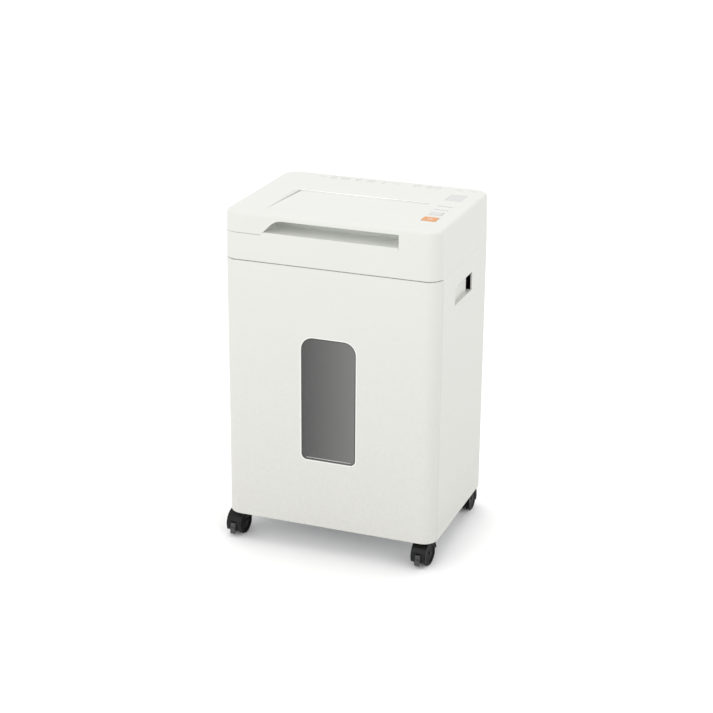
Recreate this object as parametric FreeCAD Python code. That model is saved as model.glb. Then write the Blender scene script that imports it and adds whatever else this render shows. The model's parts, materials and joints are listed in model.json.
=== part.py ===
"""Office paper shredder: cutting head over a pull-out waste bin, on four twin-wheel casters.

Millimetres. +Z is up, the front (feed slot and drawer) faces -Y, and +X is to the right of
someone who stands in front. The origin is on the floor, under the middle of the cabinet.
"""
import FreeCAD, Part

import math
import os

V = FreeCAD.Vector

# ---- driving dimensions ----------------------------------------------------------------
WIDTH = 350.0
DEPTH = 265.0
CABINET_HEIGHT = 430.0
BAND_HEIGHT = 43.0
COVER_HEIGHT = 32.0

WALL = 3.0
FRONT_CORNER_R = 23.0
REAR_CORNER_R = 26.0
HEAD_DRAFT = 1.5
TOP_EDGE_R = 5.0
BOTTOM_EDGE_R = 1.5

SEAM_GAP = 1.2
SIDE_GAP = 0.8
FREE_GAP = 0.5
RUNNING_GAP = 0.05
HAIRLINE = 0.25
CUT_MARGIN = 1.0

# ---- drawer ----------------------------------------------------------------------------
DRAWER_WRAP = 20.0
DRAWER_FLANGE = 12.0
WINDOW_WIDTH = 90.0
WINDOW_HEIGHT = 203.0
WINDOW_SILL = 114.5
WINDOW_TOP_R = 20.0
WINDOW_BOTTOM_R = 9.0
PANE_RECESS = 0.8
PANE_GAP = 0.4
PANE_FLANGE = 6.0
PANE_FLANGE_T = 2.0
BEZEL_T = 3.5
BEZEL_BAND = 9.0
BIN_SIDE_GAP = 34.0
BIN_REAR_GAP = 11.5
BIN_HEAD_GAP = 18.0
BIN_WALL = 2.5
BIN_RIM = 4.0
BIN_RIM_T = 3.0
RAIL_T = 3.5
RAIL_PAD = 26.0
RAIL_GUIDE_T = 3.0
RAIL_GUIDE_HEIGHT = 16.0
BASE_T = 4.0
SCREW_R = 1.5
SCREW_HEAD_R = 3.5
SCREW_HEAD_T = 2.5
BOSS_R = 4.0

# ---- feed slot and top -----------------------------------------------------------------
SLOT_HALF_WIDTH = 111.0
SLOT_HEIGHT = 20.0
SLOT_LIP = 4.0
SLOT_END_R = 28.0
SHADOW_GROOVE = 0.8
SHADOW_GROOVE_DEPTH = 1.4
RAMP_SLOPE = 0.1
RAMP_LENGTH = 58.5
RAMP_END_R = 3.0
GUIDE_T = 2.0
CHEEK_T = 2.0
THROAT_GAP = 5.0
TOP_RECESS_DEPTH = 1.2
TOP_RECESS_LEFT = -115.0
TOP_RECESS_RIGHT = 107.0
TOP_RECESS_SETBACK = 37.5
TOP_RECESS_LENGTH = 117.0

# ---- controls: each size is (x, y) -----------------------------------------------------
PANEL_INSET = 39.5
POWER_KEY_Y = -61.5
POWER_KEY_SIZE = (23.5, 22.0)
REVERSE_KEY_Y = -30.5
REVERSE_KEY_SIZE = (20.0, 18.0)
STATUS_STRIP_YS = (-6.5, 11.0)
STATUS_STRIP_SIZE = (22.0, 2.2)
DISPLAY_Y = 64.0
DISPLAY_SHIFT = 1.5
DISPLAY_SIZE = (26.0, 35.0)
KEY_CORNER_R = 1.5
KEY_PROUD = 0.4
KEY_TRAVEL = 1.2
KEY_FLANGE = 1.5
KEY_FLANGE_T = 1.7
KEY_STEM_R = 3.0
KEY_STEM_LENGTH = 6.5
BOARD_T = 1.6
BOARD_HALF_WIDTH = 20.0
BOARD_OVERRUN_FRONT = 20.5
BOARD_OVERRUN_REAR = 32.0
BOARD_SWITCH_T = 4.4
SWITCH_SIZE = 6.0
SENSOR_HALF_WIDTH = 7.0
SENSOR_LENGTH = 11.0

# ---- cutting block ---------------------------------------------------------------------
DECK_CLEARANCE = 25.0
DECK_T = 3.0
PLATE_T = 3.0
PLATE_MARGIN = 4.0
PLATE_SETBACK = 13.5
PLATE_TOP_MARGIN = 3.0
PLATE_REAR_REACH = 48.0
MOTOR_MARGIN = 10.0
FOOT_WIDTH = 16.0
CUTTER_ABOVE_DECK = 31.0
CORE_CLEARANCE = 2.0
JOURNAL_R = 6.0
BUSH_WALL = 3.0
DISC_R = 21.0
DISC_T = 3.6
DISC_PITCH = 8.0
DISC_NOTCHES = 5
NOTCH_DEPTH = 2.2
NOTCH_HALF_ANGLE = 7.0
DISC_STAGGER = 19.0
FINGER_T = 3.0
STRIPPER_BAR_T = 7.0
STRIPPER_HEIGHT = 20.0
TIE_ROD_R = 4.0
TIE_ROD_Z = 8.0

# ---- gear train ------------------------------------------------------------------------
MODULE = 1.5
PRESSURE_ANGLE = 20.0
BACKLASH = 0.36
TOOTH_DEPTH = 1.25
TOOTH_RISE = 0.9
CUTTER_TEETH = 24
PINION_TEETH = 12
IDLER_LARGE_TEETH = 40
IDLER_SMALL_TEETH = 14
GEAR_T = 8.0
IDLER_GEAR_T = 6.0
GEAR_STANDOFF = 4.0
IDLER_ANGLE = 10.0
MOTOR_ANGLE = -10.0
IDLER_AXLE_R = 4.0
MOTOR_R = 27.5
MOTOR_LENGTH = 100.0
MOTOR_SHAFT_R = 4.0
MOTOR_SHAFT_IN = 12.0
MOTOR_NOSE = 6.0
GUARD_T = 2.0
GUARD_POST_R = 4.0

# ---- side grips and back ---------------------------------------------------------------
GRIP_LENGTH = 86.5
GRIP_HEIGHT = 29.0
GRIP_Y = -7.0
GRIP_BELOW_SEAM = 32.0
GRIP_DEPTH = 24.0
GRIP_MOUTH = 13.5
SCOOP_DEPTH = 3.2
SCOOP_SAG = 3.6
GRIP_T = 2.0
VENT_WIDTH = 130.0
VENT_HEIGHT = 26.0
VENT_X = 55.0
VENT_SLOT = 3.2
VENT_PITCH = 6.5
INLET_X = -110.0
INLET_WIDTH = 28.0
INLET_HEIGHT = 21.0
INLET_DEPTH = 22.0
INLET_CAVITY_DEPTH = 17.0
INLET_WALL = 2.2
PIN_HALF_T = 1.0
PIN_HALF_HEIGHT = 2.0
PIN_PITCH = 7.0

# ---- interlock and catch ---------------------------------------------------------------
INTERLOCK_INSET = 20.0
LEVER_SETBACK = 14.0
LEVER_DROP = 11.0
LEVER_HALF_WIDTH = 3.5
LEVER_LENGTH = 14.0
LEVER_HALF_T = 1.0
SWITCH_HALF_WIDTH = 6.0
SWITCH_LENGTH = 20.0
EAR_T = 2.0
EAR_HALF_LENGTH = 4.0
EAR_DROP = 3.0
STRIKER_TAB_HALF = 2.0
STRIKER_TAB_LOW = 13.0
STRIKER_TAB_HIGH = 7.0
STRIKER_GAP = 0.5
MAGNET_X = 70.0
MAGNET_HEIGHT = 6.0
MAGNET_WIDTH = 20.0

# ---- casters ---------------------------------------------------------------------------
CASTER_LEFT_INSET = 10.5
CASTER_RIGHT_INSET = 23.0
CASTER_FRONT_INSET = 42.0
CASTER_REAR_INSET = 31.5
WHEEL_R = 19.0
WHEEL_T = 7.6
WHEEL_INNER_X = 4.6
CASTER_TRAIL = 14.0
AXLE_R = 3.0
HOOD_GAP = 0.9
HOOD_T = 2.0
HOOD_SIDE_GAP = 0.6
HOOD_HEADROOM = 5.1
WEB_HALF = 3.6
STEM_R = 4.0
STEM_LENGTH = 15.0
SOCKET_R = 7.0
SWIVEL_GAP = 0.7
TAB_HALF = 4.2
TAB_PIN_R = 1.2
TAB_LENGTH = 13.3
TAB_PAD_TOP = 5.7
TAB_PAD_END = 15.2
DISH_R = 13.7
FRONT_TURN = -5.0

# ---- worked out from the above ---------------------------------------------------------
HALF_W = WIDTH / 2
HALF_D = DEPTH / 2
FLOOR_Z = 2 * WHEEL_R + HOOD_GAP + HOOD_T + HOOD_HEADROOM
SEAM_Z = FLOOR_Z + CABINET_HEIGHT
PARTING_Z = SEAM_Z + BAND_HEIGHT
TOP_Z = PARTING_Z + COVER_HEIGHT
LIP_Z = PARTING_Z + SLOT_LIP
UNDER_TOP_Z = TOP_Z - WALL
INNER_X = HALF_W - WALL
FRONT_INNER_Y = -HALF_D + WALL
REAR_INNER_Y = HALF_D - WALL
SHELL_FRONT_Y = -HALF_D + DRAWER_WRAP + SIDE_GAP
DRAWER_TOP_Z = SEAM_Z - SEAM_GAP
BASE_TOP_Z = FLOOR_Z + BASE_T
BIN_HALF_WIDTH = INNER_X - BIN_SIDE_GAP
BIN_FRONT_Y = FRONT_INNER_Y + PANE_FLANGE_T + BEZEL_T
BIN_REAR_Y = REAR_INNER_Y - BIN_REAR_GAP
BIN_BOTTOM_Z = BASE_TOP_Z + RAIL_T + FREE_GAP
WINDOW_Z0 = FLOOR_Z + WINDOW_SILL
WINDOW_Z1 = WINDOW_Z0 + WINDOW_HEIGHT
DECK_Z = SEAM_Z - DECK_CLEARANCE - DECK_T
DECK_TOP_Z = DECK_Z + DECK_T
BIN_TOP_Z = DECK_Z - BIN_HEAD_GAP
TOP_RECESS_FRONT = -HALF_D + TOP_RECESS_SETBACK
TOP_RECESS_REAR = TOP_RECESS_FRONT + TOP_RECESS_LENGTH
CUTTER_Y = FRONT_INNER_Y + RAMP_LENGTH + THROAT_GAP / 2
CUTTER_Z = DECK_TOP_Z + CUTTER_ABOVE_DECK
SHAFT_DISTANCE = MODULE * CUTTER_TEETH
COLLAR_R = SOCKET_R - FREE_GAP
SHAFT_R = SHAFT_DISTANCE - DISC_R - CORE_CLEARANCE
FRONT_SHAFT_Y = CUTTER_Y - SHAFT_DISTANCE / 2
REAR_SHAFT_Y = CUTTER_Y + SHAFT_DISTANCE / 2
PLATE_INNER_X = SLOT_HALF_WIDTH + PLATE_MARGIN
PLATE_OUTER_X = PLATE_INNER_X + PLATE_T
PLATE_FRONT = FRONT_INNER_Y + PLATE_SETBACK
LEFT_PLATE_REAR = REAR_SHAFT_Y + PLATE_REAR_REACH
DISC_COUNT = int(2 * PLATE_INNER_X / DISC_PITCH)
PLATE_TOP_Z = PARTING_Z - PLATE_TOP_MARGIN
GEAR_X = PLATE_OUTER_X + GEAR_STANDOFF
IDLER_GEAR_X = GEAR_X + GEAR_T + 2 * CUT_MARGIN
GUARD_X = IDLER_GEAR_X + IDLER_GEAR_T + 3 * CUT_MARGIN


def pitch_radius(teeth):
    """Pitch radius of a gear of the train."""
    return MODULE * teeth / 2


IDLER_REACH = pitch_radius(CUTTER_TEETH) + pitch_radius(IDLER_SMALL_TEETH)
IDLER_Y = REAR_SHAFT_Y + IDLER_REACH * math.cos(math.radians(IDLER_ANGLE))
IDLER_Z = CUTTER_Z + IDLER_REACH * math.sin(math.radians(IDLER_ANGLE))
MOTOR_REACH = pitch_radius(PINION_TEETH) + pitch_radius(IDLER_LARGE_TEETH)
MOTOR_Y = IDLER_Y + MOTOR_REACH * math.cos(math.radians(MOTOR_ANGLE))
MOTOR_Z = IDLER_Z + MOTOR_REACH * math.sin(math.radians(MOTOR_ANGLE))
HOOD_HALF_WIDTH = WHEEL_INNER_X + WHEEL_T + HOOD_SIDE_GAP
RIGHT_PLATE_REAR = MOTOR_Y + MOTOR_R + MOTOR_MARGIN
GRIP_Z0 = SEAM_Z - GRIP_BELOW_SEAM - GRIP_HEIGHT
INTERLOCK_X = INNER_X - INTERLOCK_INSET

# Controls as (centre x, centre y, size x, size y).
PANEL_X = HALF_W - PANEL_INSET
POWER_KEY = (PANEL_X, POWER_KEY_Y) + POWER_KEY_SIZE
REVERSE_KEY = (PANEL_X, REVERSE_KEY_Y) + REVERSE_KEY_SIZE
STATUS_STRIPS = tuple((PANEL_X, y) + STATUS_STRIP_SIZE for y in STATUS_STRIP_YS)
DISPLAY = (PANEL_X + DISPLAY_SHIFT, DISPLAY_Y) + DISPLAY_SIZE
BOARD_FRONT = POWER_KEY_Y - BOARD_OVERRUN_FRONT
BOARD_REAR = DISPLAY_Y + BOARD_OVERRUN_REAR
SWITCH_TOP_Z = UNDER_TOP_Z - HAIRLINE - KEY_FLANGE_T - KEY_STEM_LENGTH - KEY_TRAVEL - FREE_GAP
BOARD_Z = SWITCH_TOP_Z + FREE_GAP - BOARD_SWITCH_T


# ---- building blocks -------------------------------------------------------------------
def box(x0, x1, y0, y1, z0, z1):
    """Upright block between two corners."""
    return Part.makeBox(x1 - x0, y1 - y0, z1 - z0, V(x0, y0, z0))


def rod(radius, start, end):
    """Round bar from one point to another."""
    along = V(*end) - V(*start)
    return Part.makeCylinder(radius, along.Length, V(*start), along)


def corner_arc(cx, cy, radius, start_angle, z):
    """Start, middle and end of a quarter circle, anticlockwise from start_angle."""
    angles = (start_angle, start_angle + math.pi / 4, start_angle + math.pi / 2)
    return [V(cx + radius * math.cos(a), cy + radius * math.sin(a), z) for a in angles]


def rounded_wire(x0, x1, y0, y1, radii, z):
    """Closed outline with corner radii (front left, front right, rear right, rear left)."""
    fl, fr, rr, rl = radii
    arcs = [
        corner_arc(x0 + fl, y0 + fl, fl, math.pi, z),
        corner_arc(x1 - fr, y0 + fr, fr, 1.5 * math.pi, z),
        corner_arc(x1 - rr, y1 - rr, rr, 0.0, z),
        corner_arc(x0 + rl, y1 - rl, rl, 0.5 * math.pi, z),
    ]
    edges = []
    for i, (begin, middle, end) in enumerate(arcs):
        edges.append(Part.Arc(begin, middle, end).toShape())
        edges.append(Part.LineSegment(end, arcs[(i + 1) % 4][0]).toShape())
    return Part.Wire(edges)


def rounded_block(x0, x1, y0, y1, z0, z1, radius):
    """Upright block with four equal vertical corner radii."""
    face = Part.Face(rounded_wire(x0, x1, y0, y1, (radius,) * 4, z0))
    return face.extrude(V(0, 0, z1 - z0))


def draft_at(z):
    """How far the cutting head leans in at a height: none up to the seam."""
    return HEAD_DRAFT * max(0.0, z - SEAM_Z) / (TOP_Z - SEAM_Z)


def body_wire(z, inset):
    """Outline of the cabinet or head at a height, moved in by inset."""
    lean = draft_at(z) + inset
    front = FRONT_CORNER_R - inset
    rear = REAR_CORNER_R - inset
    x = HALF_W - lean
    return rounded_wire(-x, x, -HALF_D + inset, HALF_D - lean, (front, front, rear, rear), z)


def body_solid(z0, z1, inset=0.0):
    """Solid between two heights that fills the outline of the cabinet or head."""
    return Part.makeLoft([body_wire(z0, inset), body_wire(z1, inset)], True, True)


def body_ring(z0, z1, inset=0.0, thickness=WALL):
    """Wall that follows the outline between two heights."""
    return body_solid(z0, z1, inset).cut(body_solid(z0, z1, inset + thickness))


def edges_near_z(shape, z):
    """Edges that lie level at a height."""
    near = 0.01
    found = []
    for edge in shape.Edges:
        bounds = edge.BoundBox
        if abs(bounds.ZMin - z) < near and abs(bounds.ZMax - z) < near:
            found.append(edge)
    return found


def union(first, *others):
    """One solid from several that touch or overlap."""
    shape = first
    for other in others:
        shape = shape.fuse(other)
    return shape.removeSplitter()


def group(solids):
    """Separate solids that share one node."""
    return Part.makeCompound(solids)


def prism_x(points, x0, x1):
    """Polygon of (y, z) points carried along X."""
    wire = Part.makePolygon([V(x0, y, z) for y, z in points + points[:1]])
    return Part.Face(wire).extrude(V(x1 - x0, 0, 0))


def prism_y(points, y0, y1):
    """Polygon of (x, z) points carried along Y."""
    wire = Part.makePolygon([V(x, y0, z) for x, z in points + points[:1]])
    return Part.Face(wire).extrude(V(0, y1 - y0, 0))


def fastener(x, y, z, direction, length):
    """Pan-head screw: the shank runs along direction from the head's seat."""
    along = V(*direction)
    seat = V(x, y, z)
    head = Part.makeCylinder(SCREW_HEAD_R, SCREW_HEAD_T, seat - along * SCREW_HEAD_T, along)
    shank = Part.makeCylinder(SCREW_R - RUNNING_GAP, length, seat, along)
    return union(head, shank)


def save(shape, name):
    """Write one node."""
    shape.exportStep(os.path.join("parts", name + ".step"))


# ---- cabinet ---------------------------------------------------------------------------
def grip_opening(side):
    """Cut through a side wall for a grip."""
    x0, x1 = sorted((side * (INNER_X - CUT_MARGIN), side * (HALF_W + CUT_MARGIN)))
    y0 = GRIP_Y - GRIP_LENGTH / 2
    y1 = GRIP_Y + GRIP_LENGTH / 2
    return box(x0, x1, y0, y1, GRIP_Z0, GRIP_Z0 + GRIP_HEIGHT)


def cabinet_shell():
    """Left side, back and right side in one wrap, open to the front."""
    ring = body_ring(FLOOR_Z, SEAM_Z)
    front = -HALF_D - CUT_MARGIN
    ring = ring.cut(box(-WIDTH, WIDTH, front, SHELL_FRONT_Y, 0, TOP_Z))
    for side in (-1, 1):
        ring = ring.cut(grip_opening(side))
    return ring


def socket_places():
    """Swivel axis of each caster: name, x, y, and +1 where the wheels trail to the rear."""
    left = -HALF_W + CASTER_LEFT_INSET
    right = HALF_W - CASTER_RIGHT_INSET
    front = -HALF_D + CASTER_FRONT_INSET
    rear = HALF_D - CASTER_REAR_INSET
    return (
        ("front_left", left, front, -1),
        ("front_right", right, front, -1),
        ("rear_left", left, rear, 1),
        ("rear_right", right, rear, 1),
    )


def base_plate():
    """Floor of the cabinet, inside the wrap, with holes for the caster sockets."""
    full = body_solid(FLOOR_Z, BASE_TOP_Z, WALL)
    side = HALF_W - FRONT_CORNER_R
    front_y = FRONT_INNER_Y + DRAWER_FLANGE + FREE_GAP
    rear = full.common(box(-WIDTH, WIDTH, SHELL_FRONT_Y, HALF_D, 0, TOP_Z))
    front = box(-side, side, front_y, SHELL_FRONT_Y, FLOOR_Z, BASE_TOP_Z)
    plate = union(rear, front)
    for _name, x, y, _way in socket_places():
        plate = plate.cut(rod(SOCKET_R, (x, y, 0), (x, y, TOP_Z)))
    return plate


def caster_sockets():
    """Tubes pressed into the base that take the caster stems."""
    top = FLOOR_Z + STEM_LENGTH + FREE_GAP
    sockets = []
    for _name, x, y, _way in socket_places():
        tube = rod(SOCKET_R, (x, y, FLOOR_Z), (x, y, top + WALL))
        sockets.append(tube.cut(rod(STEM_R + RUNNING_GAP, (x, y, 0), (x, y, top))))
    return group(sockets)


def rail(side):
    """Angle runner on the base: a pad under the bin and a guide beside it."""
    inner = BIN_HALF_WIDTH - RAIL_PAD
    guide = BIN_HALF_WIDTH + FREE_GAP
    outer = guide + RAIL_GUIDE_T
    y0 = FRONT_INNER_Y + DRAWER_FLANGE + FREE_GAP
    y1 = BIN_REAR_Y
    z1 = BASE_TOP_Z + RAIL_T
    pad_x = sorted((side * inner, side * outer))
    guide_x = sorted((side * guide, side * outer))
    pad = box(*pad_x, y0, y1, BASE_TOP_Z, z1)
    return union(pad, box(*guide_x, y0, y1, BASE_TOP_Z, BASE_TOP_Z + RAIL_GUIDE_HEIGHT))


def deck_opening():
    """Plan limits of the hole that the cut paper falls through."""
    reach = SHAFT_DISTANCE / 2 + DISC_R
    return -PLATE_INNER_X + WALL, PLATE_INNER_X - WALL, CUTTER_Y - reach, CUTTER_Y + reach


def head_deck():
    """Steel deck across the cabinet that carries the cutting block."""
    full = body_solid(DECK_Z, DECK_TOP_Z, WALL)
    rear = full.common(box(-WIDTH, WIDTH, SHELL_FRONT_Y, HALF_D, 0, TOP_Z))
    tongue = box(
        -BIN_HALF_WIDTH, BIN_HALF_WIDTH, FRONT_INNER_Y + BIN_WALL, SHELL_FRONT_Y, DECK_Z, DECK_TOP_Z
    )
    x0, x1, y0, y1 = deck_opening()
    return union(rear, tongue).cut(box(x0, x1, y0, y1, 0, TOP_Z))


def grip_outline(deep):
    """Plan outline of a right-hand grip, from its front end to the open rear end.

    A shallow scoop runs back to the mouth, where the outline drops to the depth given.
    """
    y0 = GRIP_Y - GRIP_LENGTH / 2
    y1 = GRIP_Y + GRIP_LENGTH / 2
    mouth_y = y1 - GRIP_MOUTH
    start = V(INNER_X, y0, 0)
    end = V(INNER_X - SCOOP_DEPTH, mouth_y, 0)
    scoop = Part.Arc(start, V(INNER_X - SCOOP_SAG, (y0 + mouth_y) / 2, 0), end).toShape()
    corners = [end, V(INNER_X - deep, mouth_y, 0), V(INNER_X - deep, y1, 0), V(INNER_X, y1, 0), start]
    lines = [Part.LineSegment(a, b).toShape() for a, b in zip(corners, corners[1:])]
    return Part.Face(Part.Wire([scoop] + lines))


def grip_cup(side):
    """Finger grip behind a side wall: a scoop, a floor, a ceiling and a mouth into the cabinet."""
    y0 = GRIP_Y - GRIP_LENGTH / 2 - GRIP_T
    y1 = GRIP_Y + GRIP_LENGTH / 2
    z0 = GRIP_Z0
    z1 = GRIP_Z0 + GRIP_HEIGHT
    mouth_y = y1 - GRIP_MOUTH
    depth = SCOOP_SAG + GRIP_T
    front = box(INNER_X - depth, INNER_X, y0, mouth_y, z0 - GRIP_T, z1 + GRIP_T)
    rear = box(INNER_X - GRIP_DEPTH, INNER_X, mouth_y - GRIP_T, y1, z0 - GRIP_T, z1 + GRIP_T)
    cavity = grip_outline(GRIP_DEPTH + CUT_MARGIN)
    cavity.translate(V(0, 0, z0))
    cavity = cavity.extrude(V(0, 0, GRIP_HEIGHT))
    behind = box(0, INNER_X, y1 - CUT_MARGIN, y1 + CUT_MARGIN, z0, z1)
    cup = union(front, rear).cut(cavity).cut(behind)
    if side < 0:
        cup = cup.mirror(V(0, 0, 0), V(1, 0, 0))
    return cup


# ---- cutting head housings -------------------------------------------------------------
def slot_face(y, half_width, z0, z1, margin):
    """Outline of the feed slot in the front: square at the right, slanted at the left.

    The left end climbs at 45 degrees from the parting line and turns level with an arc.
    """
    tangent = SLOT_END_R * math.tan(math.radians(22.5))
    corner_x = -half_width + (z1 - z0)
    step = tangent * math.sqrt(0.5)
    low = V(-half_width - margin, y, z0 - margin)
    bend_start = V(corner_x - step, y, z1 - step)
    bend_end = V(corner_x + tangent, y, z1)
    centre = V(bend_end.x, y, z1 - SLOT_END_R)
    turn = math.radians(112.5)
    bend_middle = centre + V(SLOT_END_R * math.cos(turn), 0, SLOT_END_R * math.sin(turn))
    right_top = V(half_width, y, z1)
    right_low = V(half_width, y, z0 - margin)
    edges = [
        Part.LineSegment(low, bend_start).toShape(),
        Part.Arc(bend_start, bend_middle, bend_end).toShape(),
        Part.LineSegment(bend_end, right_top).toShape(),
        Part.LineSegment(right_top, right_low).toShape(),
        Part.LineSegment(right_low, low).toShape(),
    ]
    return Part.Face(Part.Wire(edges))


def slot_cutter():
    """Solid that opens the feed slot through the front wall of the cover."""
    face = slot_face(-HALF_D - CUT_MARGIN, SLOT_HALF_WIDTH, PARTING_Z, LIP_Z + SLOT_HEIGHT, CUT_MARGIN)
    return face.extrude(V(0, WALL + 2 * CUT_MARGIN, 0))


def slot_lip():
    """Raised edge of the band that fills the foot of the slot, with a rounded nose."""
    gap = HAIRLINE
    left = -SLOT_HALF_WIDTH + gap
    right = SLOT_HALF_WIDTH - gap
    rise = SLOT_LIP
    points = [(left, PARTING_Z), (left + rise, LIP_Z), (right, LIP_Z), (right, PARTING_Z)]
    lip = prism_y(points, -HALF_D, FRONT_INNER_Y)
    nose = [e for e in edges_near_z(lip, LIP_Z) if e.BoundBox.YMax < -HALF_D + HAIRLINE]
    return lip.makeFillet(WALL / 2, nose)


def vent_opening():
    """Plan of the vent in the back of the head: x and z limits."""
    x0 = VENT_X - VENT_WIDTH / 2
    z0 = (SEAM_Z + PARTING_Z - VENT_HEIGHT) / 2
    return x0, x0 + VENT_WIDTH, z0, z0 + VENT_HEIGHT


def inlet_opening():
    """Limits of the power inlet in the back of the head: x and z."""
    x0 = INLET_X - INLET_WIDTH / 2
    z0 = (SEAM_Z + PARTING_Z - INLET_HEIGHT) / 2
    return x0, x0 + INLET_WIDTH, z0, z0 + INLET_HEIGHT


def upper_housing():
    """Band of the head between the drawer seam and the parting line."""
    ring = body_ring(SEAM_Z, PARTING_Z)
    groove = body_ring(PARTING_Z - SHADOW_GROOVE, PARTING_Z + CUT_MARGIN, -CUT_MARGIN,
                       SHADOW_GROOVE_DEPTH + CUT_MARGIN)
    groove = groove.common(
        box(-WIDTH, -SLOT_HALF_WIDTH, -DEPTH, DEPTH, 0, TOP_Z)
    )
    ring = ring.cut(groove)
    ring = union(ring, slot_lip())
    for x0, x1, z0, z1 in (vent_opening(), inlet_opening()):
        ring = ring.cut(box(x0, x1, REAR_INNER_Y - HEAD_DRAFT - CUT_MARGIN, DEPTH, z0, z1))
    return ring


def control_holes():
    """Openings for the keys and lenses, through the top."""
    cuts = []
    for x, y, sx, sy in (POWER_KEY, REVERSE_KEY, DISPLAY) + STATUS_STRIPS:
        half_x = sx / 2 + HAIRLINE
        half_y = sy / 2 + HAIRLINE
        radius = min(KEY_CORNER_R, half_y - HAIRLINE)
        cuts.append(
            rounded_block(x - half_x, x + half_x, y - half_y, y + half_y, UNDER_TOP_Z, TOP_Z, radius)
        )
    return cuts


def board_posts():
    """Places of the four posts that hold the control board."""
    inset = BOSS_R
    xs = (PANEL_X - BOARD_HALF_WIDTH + inset, PANEL_X + BOARD_HALF_WIDTH - inset)
    ys = (BOARD_FRONT + inset, BOARD_REAR - inset)
    return [(x, y) for x in xs for y in ys]


def top_cover():
    """Top of the head: skirt, drafted corners, feed slot, shallow ramp and control holes."""
    outer = body_solid(PARTING_Z, TOP_Z)
    outer = outer.makeFillet(TOP_EDGE_R, edges_near_z(outer, TOP_Z))
    cover = outer.cut(body_solid(PARTING_Z - CUT_MARGIN, UNDER_TOP_Z, WALL))
    cover = cover.cut(slot_cutter())
    ramp = [
        (TOP_RECESS_REAR, TOP_Z - TOP_RECESS_DEPTH),
        (TOP_RECESS_REAR, TOP_Z + CUT_MARGIN),
        (TOP_RECESS_FRONT, TOP_Z + CUT_MARGIN),
        (TOP_RECESS_FRONT, TOP_Z),
    ]
    cover = cover.cut(prism_x(ramp, TOP_RECESS_LEFT, TOP_RECESS_RIGHT))
    for x, y in board_posts():
        post = rod(BOSS_R, (x, y, BOARD_Z + BOARD_T), (x, y, UNDER_TOP_Z))
        cover = union(cover, post)
        cover = cover.cut(rod(SCREW_R, (x, y, BOARD_Z), (x, y, UNDER_TOP_Z - WALL)))
    for cut in control_holes():
        cover = cover.cut(cut)
    return cover


def feed_guide():
    """Grey throat: a ramp in from the slot, a roof over it, and the drop to the cutters."""
    y0 = FRONT_INNER_Y
    t = GUIDE_T
    lip = LIP_Z - HAIRLINE
    ramp_end = y0 + RAMP_LENGTH
    ramp_low = lip - RAMP_SLOPE * RAMP_LENGTH
    wall_y = ramp_end + THROAT_GAP
    foot_z = CUTTER_Z + DISC_R + FREE_GAP + HAIRLINE
    roof_z = LIP_Z + SLOT_HEIGHT + FREE_GAP
    ramp = [(y0, lip), (ramp_end, ramp_low), (ramp_end, foot_z), (ramp_end - t, foot_z),
            (ramp_end - t, ramp_low - t), (y0, lip - t)]
    roof = [(y0 + FREE_GAP, roof_z), (wall_y, roof_z), (wall_y, foot_z), (wall_y + t, foot_z),
            (wall_y + t, roof_z + t), (y0 + FREE_GAP, roof_z + t)]
    cheek = [(y0, lip - t), (ramp_end - t, foot_z), (wall_y + t, foot_z), (wall_y + t, roof_z + t),
             (y0, roof_z + t)]
    inner = SLOT_HALF_WIDTH + HAIRLINE
    outer = inner + CHEEK_T
    floor = prism_x(ramp, -outer, outer)
    bend = [e for e in edges_near_z(floor, ramp_low) if abs(e.BoundBox.YMax - ramp_end) < HAIRLINE]
    floor = floor.makeFillet(RAMP_END_R, bend)
    pieces = [prism_x(roof, -outer, outer), prism_x(cheek, -outer, -inner), prism_x(cheek, inner, outer)]
    return union(floor, *pieces)


def paper_sensor():
    """Small sensor block on the roof of the throat."""
    z0 = LIP_Z + SLOT_HEIGHT + FREE_GAP + GUIDE_T
    y0 = FRONT_INNER_Y + FREE_GAP
    x = SENSOR_HALF_WIDTH
    return box(-x, x, y0, y0 + SENSOR_LENGTH, z0, z0 + GUIDE_T)


def rear_y_at(z):
    """Outer face of the head's back at a height."""
    return HALF_D - draft_at(z)


def rear_vent():
    """Slatted insert in the vent opening: the motor's air outlet."""
    x0, x1, z0, z1 = vent_opening()
    y1 = rear_y_at(z1) - HAIRLINE
    y0 = REAR_INNER_Y - HEAD_DRAFT
    grille = box(x0, x1, y0, y1, z0, z1)
    count = int((VENT_WIDTH - VENT_PITCH) / VENT_PITCH)
    start = VENT_X - (count - 1) * VENT_PITCH / 2
    for i in range(count):
        x = start + i * VENT_PITCH
        half = VENT_SLOT / 2
        grille = grille.cut(box(x - half, x + half, 0, DEPTH, z0 + WALL, z1 - WALL))
    return grille


def power_inlet():
    """Mains inlet: a flanged plastic shell with a cavity for the plug."""
    x0, x1, z0, z1 = inlet_opening()
    y1 = rear_y_at(z1) - HAIRLINE
    shell = box(x0, x1, y1 - INLET_DEPTH, y1, z0, z1)
    t = INLET_WALL
    y0 = y1 - INLET_CAVITY_DEPTH
    return shell.cut(box(x0 + t, x1 - t, y0, DEPTH, z0 + t, z1 - t))


def inlet_pins():
    """Three flat contacts that stand in the inlet's cavity."""
    _x0, _x1, z0, z1 = inlet_opening()
    y0 = rear_y_at(z1) - HAIRLINE - INLET_CAVITY_DEPTH
    middle = (z0 + z1) / 2
    pins = []
    t = PIN_HALF_T
    h = PIN_HALF_HEIGHT
    for column, z in ((-1, middle - h), (0, middle + h), (1, middle - h)):
        x = INLET_X + column * PIN_PITCH
        pins.append(box(x - t, x + t, y0, y0 + INLET_CAVITY_DEPTH - WALL, z - h, z + h))
    return group(pins)


# ---- cutting block ---------------------------------------------------------------------
def shaft_places():
    """Heights and depths of the two cutter axes."""
    return ((FRONT_SHAFT_Y, CUTTER_Z), (REAR_SHAFT_Y, CUTTER_Z))


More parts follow.
